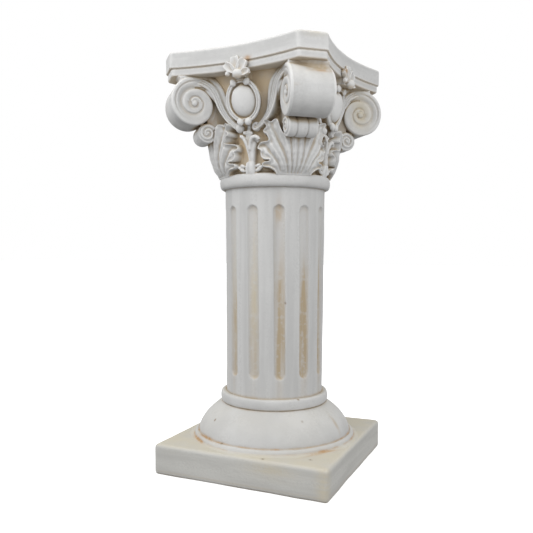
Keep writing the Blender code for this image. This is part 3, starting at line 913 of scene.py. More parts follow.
@dataclass
class Shaft(SubAssembly):
    """Shaft, a little wider at its top, with twelve round-ended flutes."""

    foot_radius: float = 0.0915
    head_radius: float = 0.0952
    flutes: int = 12
    flute_width: float = 0.0210
    flute_depth: float = 0.0042
    flute_fullness: float = 0.36
    foot_margin: float = 0.0350
    head_margin: float = 0.0320
    rooted: tuple[float, float] = (0.012, 0.010)
    crowding: float = 0.6

    def shape(self, material: Material) -> Object:
        """Fluted drum from inside the ring up to inside the astragal.

        Args:
            material: The piece's material.

        Returns:
            The shaft's object.
        """
        item = new_object(self.name, bpy.data.meshes.new(self.name))
        run_tree(item, fluted_drum(), {
            "Sides": 480, "Rows": 200,
            "Foot radius": self.foot_radius, "Head radius": self.head_radius,
            "Low": CAST.shaft_foot - self.rooted[0], "High": CAST.astragal_foot + self.rooted[1],
            "Flutes": self.flutes, "Flute width": self.flute_width, "Flute depth": self.flute_depth,
            "Flute foot": CAST.shaft_foot + self.foot_margin,
            "Flute head": CAST.astragal_foot - self.head_margin,
            "Fullness": self.flute_fullness, "Crowding": self.crowding / math.pi,
            "Material": material, **CAST.twist_sizes(),
        })
        return item


@dataclass
class CarvedPiece(SubAssembly):
    """Piece carved for one quarter of the capital and repeated round the axis over a round core."""

    def carve(self, clay: Clay) -> None:
        """Heaps up one quarter, with its face at azimuth 0 and its corner at 45."""
        raise NotImplementedError

    def core(self) -> Outline:
        """Radius and height along the closed solid of revolution inside the carving."""
        raise NotImplementedError

    def shape(self, material: Material) -> Object:
        """Four carved quarters, turned with the casting, and the core in one skin.

        Args:
            material: The piece's material.

        Returns:
            The piece's object.
        """
        clay, core = Clay(), Clay()
        self.carve(clay)
        item = new_object(self.name, clay.mesh(self.name))
        run_tree(item, ring_of_quarters(), {"Count": FACES, "Material": material, **CAST.twist_sizes()})
        data = item.data
        bpy.data.objects.remove(item)
        azimuths = np.linspace(0.0, 360.0, 160, endpoint=False)
        core.loft(np.stack([polar(azimuths, radius, up) for radius, up in self.core()]))
        return self.fused([data, core.mesh("core")])


def bell_radius(up: Number) -> np.ndarray:
    """Radius of the capital's bell at a height."""
    share = np.clip((np.asarray(up) - CAST.bell_foot) / (CAST.fascia_foot - CAST.bell_foot), 0.0, 1.0)
    return CAST.bell_neck + CAST.bell_flare * share ** CAST.bell_power


@dataclass(frozen=True)
class Crease:
    """Line on a leaf's half: azimuth off the middle and height of its knots, and how it swells or sinks.

    Height is positive for a rib and negative for a groove. Width is half of what it covers. Both run
    from the line's first end to its last.
    """

    knots: Pairs
    height: tuple[float, float]
    width: tuple[float, float]


def flat_points(azimuth: Number, up: Number) -> np.ndarray:
    """Points in metres on the leaf's unrolled skin, at its mean radius, from azimuths and heights."""
    azimuth, up = np.broadcast_arrays(azimuth, up)
    return np.stack([np.radians(azimuth) * CAST.leaf_radius, up], axis=-1)


def to_line(points: np.ndarray, line: np.ndarray) -> tuple[np.ndarray, np.ndarray]:
    """Distance of flat points to a line, and the share of the line where it is met.

    Args:
        points: Flat points, one per row.
        line: Corners of the line.

    Returns:
        Distances and shares.
    """
    best = np.full(len(points), 1.0)
    share = np.zeros(len(points))
    last = len(line) - 1
    for number, (first, second) in enumerate(zip(line, line[1:])):
        run = second - first
        part = np.clip((points - first) @ run / max(float(run @ run), 1e-12), 0.0, 1.0)
        away = np.linalg.norm(points - first - part[:, None] * run, axis=1)
        nearer = away < best
        best = np.where(nearer, away, best)
        share = np.where(nearer, (number + part) / last, share)
    return best, share


def inside(points: np.ndarray, line: np.ndarray) -> np.ndarray:
    """Whether flat points lie inside a closed line.

    Args:
        points: Flat points, one per row.
        line: Corners of the closed line.

    Returns:
        True for each point inside.
    """
    found = np.zeros(len(points), dtype=bool)
    for first, second in zip(line, np.roll(line, -1, axis=0)):
        crosses = (first[1] > points[:, 1]) != (second[1] > points[:, 1])
        rise = second[1] - first[1]
        steep = rise if abs(rise) > 1e-12 else 1e-12
        meet = first[0] + (points[:, 1] - first[1]) * (second[0] - first[0]) / steep
        found ^= crosses & (points[:, 0] < meet)
    return found


@dataclass
class Leafage(CarvedPiece):
    """Astragal and lower bell with the four fanned leaves and the four lilies."""

    astragal_radius: float = 0.1052
    astragal_foot_radius: float = 0.0938
    crest: Pairs = (
        (0.5430, 0.1050), (0.5470, 0.1090), (0.5560, 0.1162), (0.5690, 0.1218),
        (0.5800, 0.1252), (0.5930, 0.1268), (0.6040, 0.1290), (0.6120, 0.1300), (0.6400, 0.1300),
    )
    rim: Pairs = (
        (0.5430, 0.1075), (0.5550, 0.1100), (0.5700, 0.1125), (0.5850, 0.1150), (0.6000, 0.1165),
        (0.6150, 0.1200), (0.6280, 0.1235), (0.6400, 0.1250),
    )
    outline: Pairs = (
        (0.0, 0.6130), (-7.5, 0.6130), (-11.6, 0.6110), (-13.6, 0.6189), (-15.0, 0.6280), (-16.3, 0.6338),
        (-18.2, 0.6348), (-20.0, 0.6338), (-21.6, 0.6318), (-23.5, 0.6328), (-25.7, 0.6342), (-28.0, 0.6330),
        (-28.8, 0.6292), (-27.2, 0.6249), (-26.2, 0.6210), (-27.9, 0.6180), (-29.0, 0.6141), (-28.2, 0.6100),
        (-26.2, 0.6080), (-25.2, 0.6035), (-24.6, 0.5985), (-27.8, 0.5978), (-31.0, 0.5968), (-33.6, 0.5938),
        (-35.2, 0.5888), (-34.6, 0.5836), (-32.3, 0.5812), (-32.4, 0.5772), (-32.3, 0.5726), (-30.7, 0.5676),
        (-28.0, 0.5650), (-24.4, 0.5642), (-27.3, 0.5636), (-30.0, 0.5622), (-31.6, 0.5578), (-30.2, 0.5534),
        (-27.4, 0.5520), (-24.2, 0.5508), (-20.8, 0.5470), (-18.6, 0.5420), (-18.0, 0.5340), (0.0, 0.5330),
    )
    creases: tuple[Crease, ...] = (
        Crease(((0.0, 0.5440), (0.0, 0.6130)), (-0.0022, -0.0018), (0.0012, 0.0014)),
        Crease(((-3.2, 0.5440), (-4.6, 0.5650), (-5.4, 0.5850), (-6.2, 0.6130)), (-0.0026, -0.0024),
               (0.0013, 0.0018)),
        Crease(((-21.6, 0.6300), (-21.0, 0.6262), (-20.2, 0.6188), (-17.8, 0.6088), (-15.3, 0.5971),
                (-11.8, 0.5804), (-9.2, 0.5651), (-7.4, 0.5498), (-7.0, 0.5440)), (-0.0080, -0.0018),
               (0.0054, 0.0014)),
        Crease(((-25.4, 0.6300), (-24.6, 0.6220), (-22.6, 0.6130), (-19.4, 0.6040)), (-0.0026, -0.0006),
               (0.0018, 0.0018)),
        Crease(((-32.6, 0.5906), (-28.4, 0.5896), (-25.4, 0.5854), (-22.8, 0.5777), (-19.4, 0.5691),
                (-16.2, 0.5589), (-14.0, 0.5470)), (-0.0064, -0.0022), (0.0040, 0.0015)),
        Crease(((-31.0, 0.5770), (-27.6, 0.5745), (-24.0, 0.5690)), (-0.0012, -0.0008), (0.0016, 0.0014)),
        Crease(((-28.6, 0.5562), (-24.6, 0.5560), (-20.0, 0.5520)), (-0.0026, -0.0012), (0.0018, 0.0013)),
        Crease(((-27.3, 0.6094), (-24.7, 0.5997), (-21.8, 0.5887), (-18.0, 0.5768), (-14.4, 0.5649),
                (-11.6, 0.5500)), (0.0034, 0.0018), (0.0030, 0.0024)),
        Crease(((-15.8, 0.6280), (-13.4, 0.6139), (-10.4, 0.6007), (-8.2, 0.5823), (-6.3, 0.5637),
                (-5.0, 0.5483)), (0.0028, 0.0014), (0.0030, 0.0022)),
        Crease(((-2.6, 0.6100), (-2.4, 0.5800), (-1.7, 0.5500)), (0.0012, 0.0010), (0.0018, 0.0014)),
    )
    lily_out: float = 0.1060

    def relief(self, azimuth: np.ndarray, up: np.ndarray) -> np.ndarray:
        """Radius of the leaf and of the bell beside it.

        Args:
            azimuth: Degrees off the leaf's middle.
            up: Heights.

        Returns:
            Radii of the same shape.
        """
        shape = azimuth.shape
        side, level = -np.abs(azimuth).ravel(), up.ravel()
        points = flat_points(side, level)
        edge = flat_points(*spline(self.outline, 6 * len(self.outline)).T)
        away = to_line(points, edge[6:-6])[0]
        depth = np.where(inside(points, edge), away, -away)
        ground = bell_radius(level)
        crest = np.interp(level, *np.array(self.crest).T)
        rim = np.interp(level, *np.array(self.rim).T)
        skin = crest + (rim - crest) * np.minimum(np.abs(side) / 31.0, 1.2) ** 1.6
        lobes = ramp(13.0, 19.0, np.abs(side))
        skin += 0.0019 * np.exp(-((depth - 0.0019) / 0.0013) ** 2) * (0.25 + 0.75 * lobes)
        skin -= 0.0016 * np.exp(-((depth - 0.0062) / 0.0030) ** 2) * lobes
        for crease in self.creases:
            gap, share = to_line(points, flat_points(*spline(crease.knots, 8 * len(crease.knots)).T))
            height, width = (low + (high - low) * share for low, high in (crease.height, crease.width))
            skin += height * np.exp(-(gap / width) ** 2)
        risen = ramp(-0.0004, 0.0014, depth)
        return (ground + np.maximum(skin - ground, 0.0) * risen).reshape(shape)

    def core(self) -> Outline:
        """Astragal and the bell inside the leaves, as radius and height.

        Returns:
            Pairs of radius and height.
        """
        low, high = CAST.astragal_foot, CAST.bell_foot
        line = [(CAST.root, low - 0.004), (0.0895, low - 0.0006), (0.0940, low - 0.0004)]
        line += bead(self.astragal_foot_radius, self.astragal_radius, low, high, np.linspace(0.0, 1.0, 20))
        line += [(float(bell_radius(up)), up) for up in np.linspace(high + 0.002, 0.640, 12)]
        return line + [(0.0700, 0.642)]

    def leaf(self, clay: Clay) -> None:
        """Leaf at a corner, with the bell beside it, as one carved slab.

        Args:
            clay: Heap that the solids go to.
        """
        azimuths = np.linspace(-45.4, 45.4, 290)
        heights = np.linspace(0.5410, 0.6400, 150)
        grid, up = np.meshgrid(azimuths, heights)
        front = polar(grid, self.relief(grid, up), up)
        back = polar(azimuths[::-20][None, :], CAST.root, heights[:, None])
        clay.loft(np.concatenate([front, back], axis=1), 45.0)

    def lily(self, clay: Clay) -> None:
        """Lily between two leaves: stalk, two petals curling out, tapering trunk and low spread foot.

        Args:
            clay: Heap that the solids go to.
        """
        root, out = CAST.root, self.lily_out
        rows = [
            (0.6370, 0.0000, 0.0042, -0.0030), (0.6200, 0.0000, 0.0042, -0.0012),
            (0.6182, 0.0000, 0.0060, 0.0008), (0.6150, 0.0000, 0.0066, 0.0012),
            (0.6125, 0.0002, 0.0062, 0.0006), (0.6095, 0.0008, 0.0084, 0.0002),
            (0.6020, 0.0028, 0.0112, 0.0008), (0.5940, 0.0032, 0.0108, 0.0010),
            (0.5840, 0.0030, 0.0090, 0.0004), (0.5740, 0.0038, 0.0073, -0.0004),
            (0.5680, 0.0040, 0.0066, -0.0008), (0.5645, 0.0036, 0.0064, -0.0008),
            (0.5630, 0.0020, 0.0084, 0.0006), (0.5560, 0.0010, 0.0098, 0.0004),
            (0.5500, 0.0006, 0.0104, -0.0008), (0.5420, 0.0006, 0.0104, -0.0030),
        ]
        rings = []
        for up, middle, half, rise in rows:
            crease = 0.0004 + 0.0016 * float(ramp(0.5620, 0.5760, up) * ramp(0.6080, 0.5960, up))
            front = out + rise
            section = [
                (-1.0, root), (-1.0, front - 0.0058), (-0.92, front - 0.0026), (-0.74, front - 0.0006),
                (-0.54, front), (-0.38, front - 0.0006), (-0.28, front - crease), (-0.18, front - 0.0006),
                (0.06, front), (0.42, front + 0.0002), (0.70, front - 0.0006), (0.90, front - 0.0028),
                (1.0, front - 0.0060), (1.0, root),
            ]
            rings.append([(middle + half * across, depth, up) for across, depth in section])
        clay.loft(np.array(rings)[::-1])
        share = np.linspace(0.0, 1.0, 36)
        right = [(0.0030, -0.0012, 0.5850), (0.0044, 0.0012, 0.5965), (0.0088, 0.0034, 0.6042),
                 (0.0146, 0.0046, 0.6066), (0.0198, 0.0040, 0.6048), (0.0224, 0.0024, 0.6014)]
        left = [(-0.0006, -0.0036, 0.5780), (-0.0036, 0.0004, 0.5930), (-0.0072, 0.0028, 0.6036),
                (-0.0112, 0.0040, 0.6080), (-0.0146, 0.0030, 0.6084)]
        for knots, thick in ((right, 0.0032), (left, 0.0027)):
            path = spline([(across, out + rise, up) for across, rise, up in knots], 36)
            wide, tall = thick + 0.0005 * share, thick + 0.0003 - 0.0004 * share
            clay.loft(swept(path, OUTWARD, round_section(14), wide, tall))
            behind = path * np.array([0.85, 1.0, 1.0]) - np.array([0.0, 0.0054, 0.0030])
            clay.loft(swept(behind, OUTWARD, round_section(12), 0.0020 + 0.0018 * share, 0.0036))
        clusters = ((0.0152, 0.5575, 0.0056), (0.0216, 0.5545, 0.0054), (0.0158, 0.5500, 0.0060))
        for side in SIDES:
            for across, up, size in clusters:
                clay.egg((side * across, out - 0.0064, up), (side * size, 0.0, size * 0.3),
                         (0.0, 0.0, size * 0.60), (0.0, size * 0.62, 0.0))
        clay.ball((-0.0072, out + 0.0002, 0.6150), 0.0036)
        clay.ball((0.0066, out - 0.0004, 0.6140), 0.0028)

    def carve(self, clay: Clay) -> None:
        """Leaf and lily."""
        self.leaf(clay)
        self.lily(clay)


@dataclass
class Volutes(CarvedPiece):
    """Four wide corner volutes over four small banded rolls."""

    eye_out: float = 0.1630
    eye_up: float = 0.6703
    half_width: float = 0.0375
    splay: float = 0.090
    spiral: Pairs = (
        (-60.0, 0.0485), (0.0, 0.0480), (90.0, 0.0425), (180.0, 0.0402), (270.0, 0.0345), (360.0, 0.0262),
        (450.0, 0.0232), (540.0, 0.0188), (630.0, 0.0160), (720.0, 0.0116), (800.0, 0.0072),
    )
    roll_out: float = 0.1375
    roll_up: float = 0.6190
    cove: Pairs = (
        (-0.0330, 12.0), (-0.0240, 17.0), (-0.0135, 27.0), (-0.0030, 34.0), (0.0075, 38.0), (0.0255, 38.0),
        (0.0340, 36.0),
    )

    def spiral_radius(self, angle: Number) -> np.ndarray:
        """Outer radius of the volute's band at an angle in degrees from its top outwards."""
        angles, radii = np.array(self.spiral).T
        return np.interp(angle, angles, radii)

    def point(self, angle: Number, radius: Number, across: Number) -> np.ndarray:
        """Local point of a volute, by angle and radius from its eye and a share across its width.

        Args:
            angle: Degrees from the volute's top outwards.
            radius: Distance from its eye.
            across: Share of its half width, negative to the left.

        Returns:
            The point, or points, with across, out and up on the last axis.
        """
        turn = np.radians(angle)
        reach = radius * np.sin(turn)
        half = self.half_width + self.splay * reach
        spot = (across * half, self.eye_out + reach, self.eye_up + radius * np.cos(turn))
        return np.stack(np.broadcast_arrays(*spot), axis=-1)

    def face_sink(self, angle: float, from_inner: np.ndarray, thick: float) -> np.ndarray:
        """How far a band's end face lies under the volute's end plane.

        Args:
            angle: Degrees along the spiral.
            from_inner: Distances from the band's inner edge.
            thick: The band's thickness.

        Returns:
            Depths at those distances.
        """
        hollow = 0.0036 * float(1.0 - ramp(170.0, 260.0, angle)) + 0.0009
        split = 0.0022 * float(1.0 - ramp(60.0, 175.0, angle))
        share = from_inner / thick
        sink = 0.0024 * np.abs(2.0 * share - 1.0) ** 3 + 0.0016 * np.exp(-(from_inner / 0.0011) ** 2)
        sink += hollow * np.clip(1.0 - share, 0.0, 1.0) ** 1.3
        sink += 0.0024 * np.exp(-((thick - from_inner) / 0.0009) ** 2)
        sink += split * np.exp(-((from_inner - 0.58 * thick) / 0.0011) ** 2)
        return sink + 0.0026 * float(ramp(255.0, 400.0, angle)) - 0.0010 * float(ramp(560.0, 780.0, angle))

    def volute(self, clay: Clay) -> None:
        """Wide roll at a corner: a band that coils to an eye on both ends.

        Args:
            clay: Heap that the solids go to.
        """
        angles = np.linspace(-40.0, 790.0, 190)
        outer = self.spiral_radius(angles)
        inner = np.where(angles < 430.0, self.spiral_radius(angles + 360.0) + 0.0002, outer * 0.40)
        rings = []
        for angle, high, low in zip(angles, outer, inner):
            thick = high - low
            spots = np.concatenate([
                [0.0, 0.0004, 0.0009, 0.0015, 0.0023],
                thick * np.array([0.25, 0.34, 0.44, 0.5, 0.54, 0.58, 0.62, 0.67, 0.76, 0.86]),
                thick - np.array([0.0020, 0.0013, 0.0008, 0.0004, 0.0]),
            ])
            spots = np.sort(np.clip(spots, 0.0, thick))
            sink = self.face_sink(angle, spots, thick)
            crown = high - np.array([0.0004, 0.0008, 0.0008, 0.0008, 0.0004])
            radius = np.concatenate([[low], low + spots, crown, (low + spots)[::-1], [low]])
            share = 1.0 - sink / self.half_width
            across = np.concatenate([[0.75], share, [0.86], [0.4, 0.0, -0.4], [-0.86], -share[::-1], [-0.75]])
            rings.append(self.point(angle, radius, across))
        clay.loft(np.stack(rings), 45.0)
        around = np.linspace(0.0, 360.0, 60, endpoint=False)
        core = np.minimum(self.spiral_radius(around), self.spiral_radius(around + 360.0) + 0.008) - 0.002
        clay.loft(np.stack([self.point(around, core, side * 0.86) for side in SIDES]), 45.0)
        for side in SIDES:
            centre = (side * (self.half_width - 0.0042), self.eye_out, self.eye_up)
            clay.egg(centre, (0.0034, 0.0, 0.0), (0.0, 0.0058, 0.0), (0.0, 0.0, 0.0058), 45.0)

    def neck(self, clay: Clay) -> None:
        """Webs that tie the volute to the bell and close it against the abacus.

        Args:
            clay: Heap that the solids go to.
        """
        root, low, top = CAST.root + 0.02, self.roll_up - 0.004, CAST.fascia_foot + 0.004
        for half, reach, foot in ((0.0235, self.roll_out, self.eye_up + 0.0408),
                                  (0.0352, self.eye_out + 0.0190, self.eye_up + 0.0380)):
            base = low if half < 0.03 else foot
            outline = [(root, base), (self.roll_out, base), (reach, foot), (reach, top), (root, top)]
            clay.loft(np.array([[(side * half, *spot) for spot in outline] for side in SIDES]), 45.0)
        rings = []
        for across, angle in self.cove:
            turn = math.radians(angle)
            radius = float(self.spiral_radius(angle)) - 0.0006
            out, up = self.eye_out + radius * math.sin(turn), self.eye_up + radius * math.cos(turn)
            line = [
                (root, 0.700), (self.eye_out, 0.700), (out, up), (out - 0.0016, (up + CAST.fascia_foot) / 2),
                (out + 0.0020, CAST.fascia_foot + 0.0004), (root, CAST.fascia_foot + 0.0004),
            ]
            rings.append([(across, *spot) for spot in line])
        clay.loft(np.array(rings), 45.0)

    def small_roll(self, clay: Clay) -> None:
        """Spool of three bands under the volute, with a small scroll on each end.

        Args:
            clay: Heap that the solids go to.
        """
        stations = [
            (-0.0262, 0.0120), (-0.0262, 0.0166), (-0.0250, 0.0176), (-0.0185, 0.0180), (-0.0132, 0.0176),
            (-0.0119, 0.0166), (-0.0108, 0.0148), (-0.0097, 0.0166), (-0.0084, 0.0178), (-0.0010, 0.0184),
            (0.0064, 0.0178), (0.0077, 0.0166), (0.0088, 0.0148), (0.0099, 0.0166), (0.0112, 0.0176),
            (0.0185, 0.0180), (0.0250, 0.0176), (0.0262, 0.0166), (0.0262, 0.0120),
        ]
        out, up = self.roll_out, self.roll_up
        clay.loft(np.array([
            [(across, out + radius * y, up + radius * x) for x, y in round_section(60)]
            for across, radius in stations
        ]), 45.0)
        coil = np.radians(np.linspace(-60.0, 520.0, 80))
        radius = np.linspace(0.0145, 0.0034, 80)
        for side in SIDES:
            end = side * stations[-1][0]
            path = np.column_stack([
                np.full(80, end), out + radius * np.sin(coil), up + radius * np.cos(coil),
            ])
            hint = np.array([side * 1.0, 0.0, 0.0])
            clay.loft(swept(path, hint, round_section(12), np.linspace(0.0030, 0.0022, 80), 0.0026), 45.0)
            clay.ball((end, out, up), 0.0030, 45.0)
        block = ((-0.018, 0.606), (0.018, 0.606), (0.018, 0.650), (-0.018, 0.650))
        depths = (CAST.root + 0.008, out)
        clay.loft(np.array([[(across, depth, high) for across, high in block] for depth in depths]), 45.0)

    def carve(self, clay: Clay) -> None:
        """Volute, its webs and its roll.

        Args:
            clay: Heap that the solids go to.
        """
        self.volute(clay)
        self.neck(clay)
        self.small_roll(clay)

    def core(self) -> Outline:
        """Collar of the bell that ties volutes and rolls together."""
        collar = [(float(bell_radius(up)) - 0.004, up) for up in np.linspace(0.642, 0.715, 8)]
        return [(0.070, 0.640), *collar, (0.070, 0.717)]


@dataclass
class FaceCarving(CarvedPiece):
    """Upper bell with, on each face, two ribbons, a cartouche and a flower over it."""

    ribbon_knots: tuple[Triple, ...] = (
        (0.0985, 0.1400, 0.7135), (0.0900, 0.1372, 0.7115), (0.0790, 0.1320, 0.7075),
        (0.0690, 0.1265, 0.7005), (0.0625, 0.1222, 0.6910), (0.0580, 0.1190, 0.6800),
        (0.0545, 0.1165, 0.6690), (0.0500, 0.1142, 0.6580), (0.0425, 0.1122, 0.6460),
        (0.0330, 0.1106, 0.6350), (0.0240, 0.1098, 0.6275), (0.0170, 0.1094, 0.6240),
    )
    cartouche_out: float = 0.1265
    cartouche_up: float = 0.6675
    cartouche_lean: float = 12.0
    cartouche_half: tuple[float, float] = (0.0345, 0.0385)
    flower_out: float = 0.1480
    flower_up: float = 0.7073
    corner_swell: float = 0.018

    def ribbon(self, clay: Clay) -> None:
        """Ridged band that falls from the volute beside the cartouche to a curl, on both sides of a face.

        Args:
            clay: Heap that the solids go to.
        """
        count = 90
        path = spline(self.ribbon_knots, count)
        share = np.linspace(0.0, 1.0, count)
        turn = np.radians(-38.0 * (1.0 - ramp(0.05, 0.42, share)))
        hint = np.column_stack([np.sin(turn), np.cos(turn), np.zeros(count)])
        half = 0.0078 * (1.0 - 0.38 * share ** 1.3)
        front = [
            (-1.0, -0.040), (-1.0, -0.0034), (-0.93, -0.0012), (-0.78, -0.0002), (-0.55, 0.0000),
            (-0.36, -0.0006), (-0.24, -0.0018), (-0.16, -0.0034), (-0.08, -0.0018), (0.04, -0.0009),
            (0.18, -0.0012), (0.28, -0.0024), (0.36, -0.0034), (0.44, -0.0022), (0.56, -0.0014),
            (0.70, -0.0018), (0.86, -0.0030), (1.0, -0.0052),
        ]
        sections = []
        for wide, skirt in zip(half, 2.30 - 1.15 * ramp(0.52, 0.86, share)):
            scale = min(1.0, wide / 0.0060)
            back = [(1.08, -0.0060), (0.5 + skirt / 2, -0.0050), (skirt, -0.0066), (skirt + 0.05, -0.040)]
            sections.append([(-x * wide, y if y < -0.02 else y * scale) for x, y in front + back])
        clay.mirrored_loft(swept(path, hint, sections))
        shoulder = spline([(0.0820, 0.1190, 0.7010), (0.0735, 0.1175, 0.6925), (0.0655, 0.1130, 0.6830),
                           (0.0580, 0.1030, 0.6700)], 24)
        clay.mirrored_loft(swept(shoulder, OUTWARD, round_section(12), 0.0060, 0.0060))
        across, out, up = path[-1]
        coil = np.radians(np.linspace(-30.0, 250.0, 40))
        radius = np.linspace(0.0060, 0.0042, 40)
        curl = np.column_stack([
            across - radius * np.sin(coil), np.full(40, out - 0.0002), up + radius * np.cos(coil),
        ])
        clay.loft(swept(curl, OUTWARD, round_section(12), np.linspace(0.0028, 0.0024, 40), 0.0032))
        for side, size, deep in ((-1, 0.0084, 0.0086), (1, 0.0080, 0.0046)):
            clay.egg((side * across, out - 0.0046, up), (0.0, 0.0, size), (size, 0.0, 0.0), (0.0, deep, 0.0))

    def cartouche_point(self, across: Number, along: Number, depth: Number) -> np.ndarray:
        """Local point on the leaning shield, from its middle.

        Args:
            across: Distance to the right.
            along: Distance up the shield.
            depth: Distance out of it.

        Returns:
            The point, or points, with across, out and up on the last axis.
        """
        lean = math.radians(self.cartouche_lean)
        out = self.cartouche_out + along * math.sin(lean) + depth * math.cos(lean)
        up = self.cartouche_up + along * math.cos(lean) - depth * math.sin(lean)
        return np.stack(np.broadcast_arrays(across, out, up), axis=-1)

    def cartouche(self, clay: Clay) -> None:
        """Oval shield: a double-ridged frame round a swelling field, with curls above and below.

        Args:
            clay: Heap that the solids go to.
        """
        stations = [
            (0.0120, -0.0380), (0.0070, -0.0180), (0.0026, -0.0080), (0.0006, -0.0046), (0.0000, -0.0026),
            (0.0004, -0.0012), (0.0014, -0.0002), (0.0026, 0.0000), (0.0036, -0.0008), (0.0044, -0.0030),
            (0.0052, -0.0008), (0.0062, 0.0004), (0.0074, 0.0000), (0.0084, -0.0018), (0.0092, -0.0056),
            (0.0100, -0.0060), (0.0108, -0.0040), (0.0122, -0.0012), (0.0148, 0.0016), (0.0184, 0.0038),
            (0.0230, 0.0053), (0.0280, 0.0061), (0.0320, 0.0064),
        ]
        across, along = np.array(round_section(120)).T
        wide, tall = self.cartouche_half
        clay.loft(np.stack([
            self.cartouche_point((wide - inset) * across, (tall - inset) * along, depth)
            for inset, depth in stations
        ]))
        for along, spread, size in ((0.0312, 0.0132, 0.0060), (-0.0358, 0.0080, 0.0062)):
            for side in SIDES:
                clay.egg(self.cartouche_point(side * spread, along, 0.0014), (side * 0.0016, 0.0, size * 1.1),
                         (size, 0.0, side * -0.0012), (0.0, size * 0.78, 0.0))

    def petal(self, clay: Clay, foot: tuple[float, float], tip: tuple[float, float], half: float,
              rise: float) -> None:
        """Broad scooped petal with a rolled rim.

        Args:
            clay: Heap it goes to.
            foot: Across and up of its foot, from the flower's middle.
            tip: Across and up of its tip.
            half: Half its greatest width.
            rise: How far its tip stands out.
        """
        share = np.linspace(0.0, 1.0, 30)
        start, end = np.array([foot[0], 0.0, foot[1]]), np.array([tip[0], 0.0, tip[1]])
        path = start + (end - start) * share[:, None]
        path += np.array([0.0, self.flower_out, self.flower_up])
        path[:, 1] += rise * share ** 1.5 + 0.0008
        wide = half * np.sqrt(np.clip(1.0 - ((share - 0.58) / 0.60) ** 2, 0.015, 1.0))
        scoop = 0.0014 * np.sin(math.pi * np.clip(share * 1.05 - 0.10, 0.0, 1.0))
        over = np.cross(unit(end - start), OUTWARD)
        x = np.linspace(-1.0, 1.0, 17)
        bulge = (0.35 + 0.65 * x ** 2) * np.sqrt(np.clip(1.0 - x ** 8, 0.0, 1.0))
        rings = []
        for spot, size, deep in zip(path, wide, scoop):
            depth = 0.0054 * size / half * bulge - deep * (1.0 - x * x)
            front = spot + over * size * x[:, None] + OUTWARD * depth[:, None]
            back = spot + over * size * np.array([[0.7], [0.0], [-0.7]]) - OUTWARD * 0.0060
            rings.append(np.concatenate([front, back]))
        clay.loft(np.stack(rings))

    def flower(self, clay: Clay) -> None:
        """Half-open flower over the edge of the abacus: four scooped petals and a bud round a ball.

        Args:
            clay: Heap that the solids go to.
        """
        for foot, tip, half, rise in (
            ((0.0000, 0.0040), (-0.0204, 0.0200), 0.0078, 0.0008),
            ((0.0010, 0.0060), (-0.0020, 0.0312), 0.0098, -0.0010),
            ((0.0040, 0.0040), (0.0196, 0.0236), 0.0096, 0.0012),
            ((0.0070, 0.0000), (0.0268, 0.0040), 0.0066, 0.0010),
        ):
            self.petal(clay, foot, tip, half, rise)
        out, up = self.flower_out, self.flower_up
        clay.egg((0.0052, out + 0.0024, up + 0.0004), (0.0, 0.0016, 0.0080), (0.0092, 0.0, 0.0),
                 (0.0, 0.0074, -0.0010))
        clay.ball((-0.0156, out, up + 0.0030), 0.0046)
        calyx = ((-0.010, -0.002), (0.014, -0.002), (0.016, 0.016), (-0.012, 0.016))
        clay.loft(np.array([
            [(across * size, depth, up + rise * size) for across, rise in calyx]
            for depth, size in ((0.103, 0.7), (out - 0.004, 1.0))
        ]))

    def carve(self, clay: Clay) -> None:
        """Ribbons, cartouche and flower on a wall that swells towards the corners.

        Args:
            clay: Heap that the solids go to.
        """
        self.ribbon(clay)
        self.cartouche(clay)
        self.flower(clay)
        azimuths = np.linspace(0.0, QUARTER, 50)
        swell = self.corner_swell * np.sin(2 * np.radians(azimuths)) ** 2
        heights = np.linspace(CAST.bell_waist, CAST.fascia_foot + 0.004, 16)
        clay.loft(np.stack([
            np.concatenate([
                polar(azimuths, bell_radius(up) + swell * ramp(CAST.bell_waist, CAST.bell_shoulder, up), up),
                polar(azimuths[::-12], CAST.root, up),
            ]) for up in heights
        ]))

    def core(self) -> Outline:
        """Upper bell, up into the fascia."""
        bell = [(float(bell_radius(up)), up) for up in np.linspace(0.620, CAST.fascia_foot, 12)]
        return [(0.070, 0.618), *bell, (0.118, CAST.fascia_foot + 0.006)]


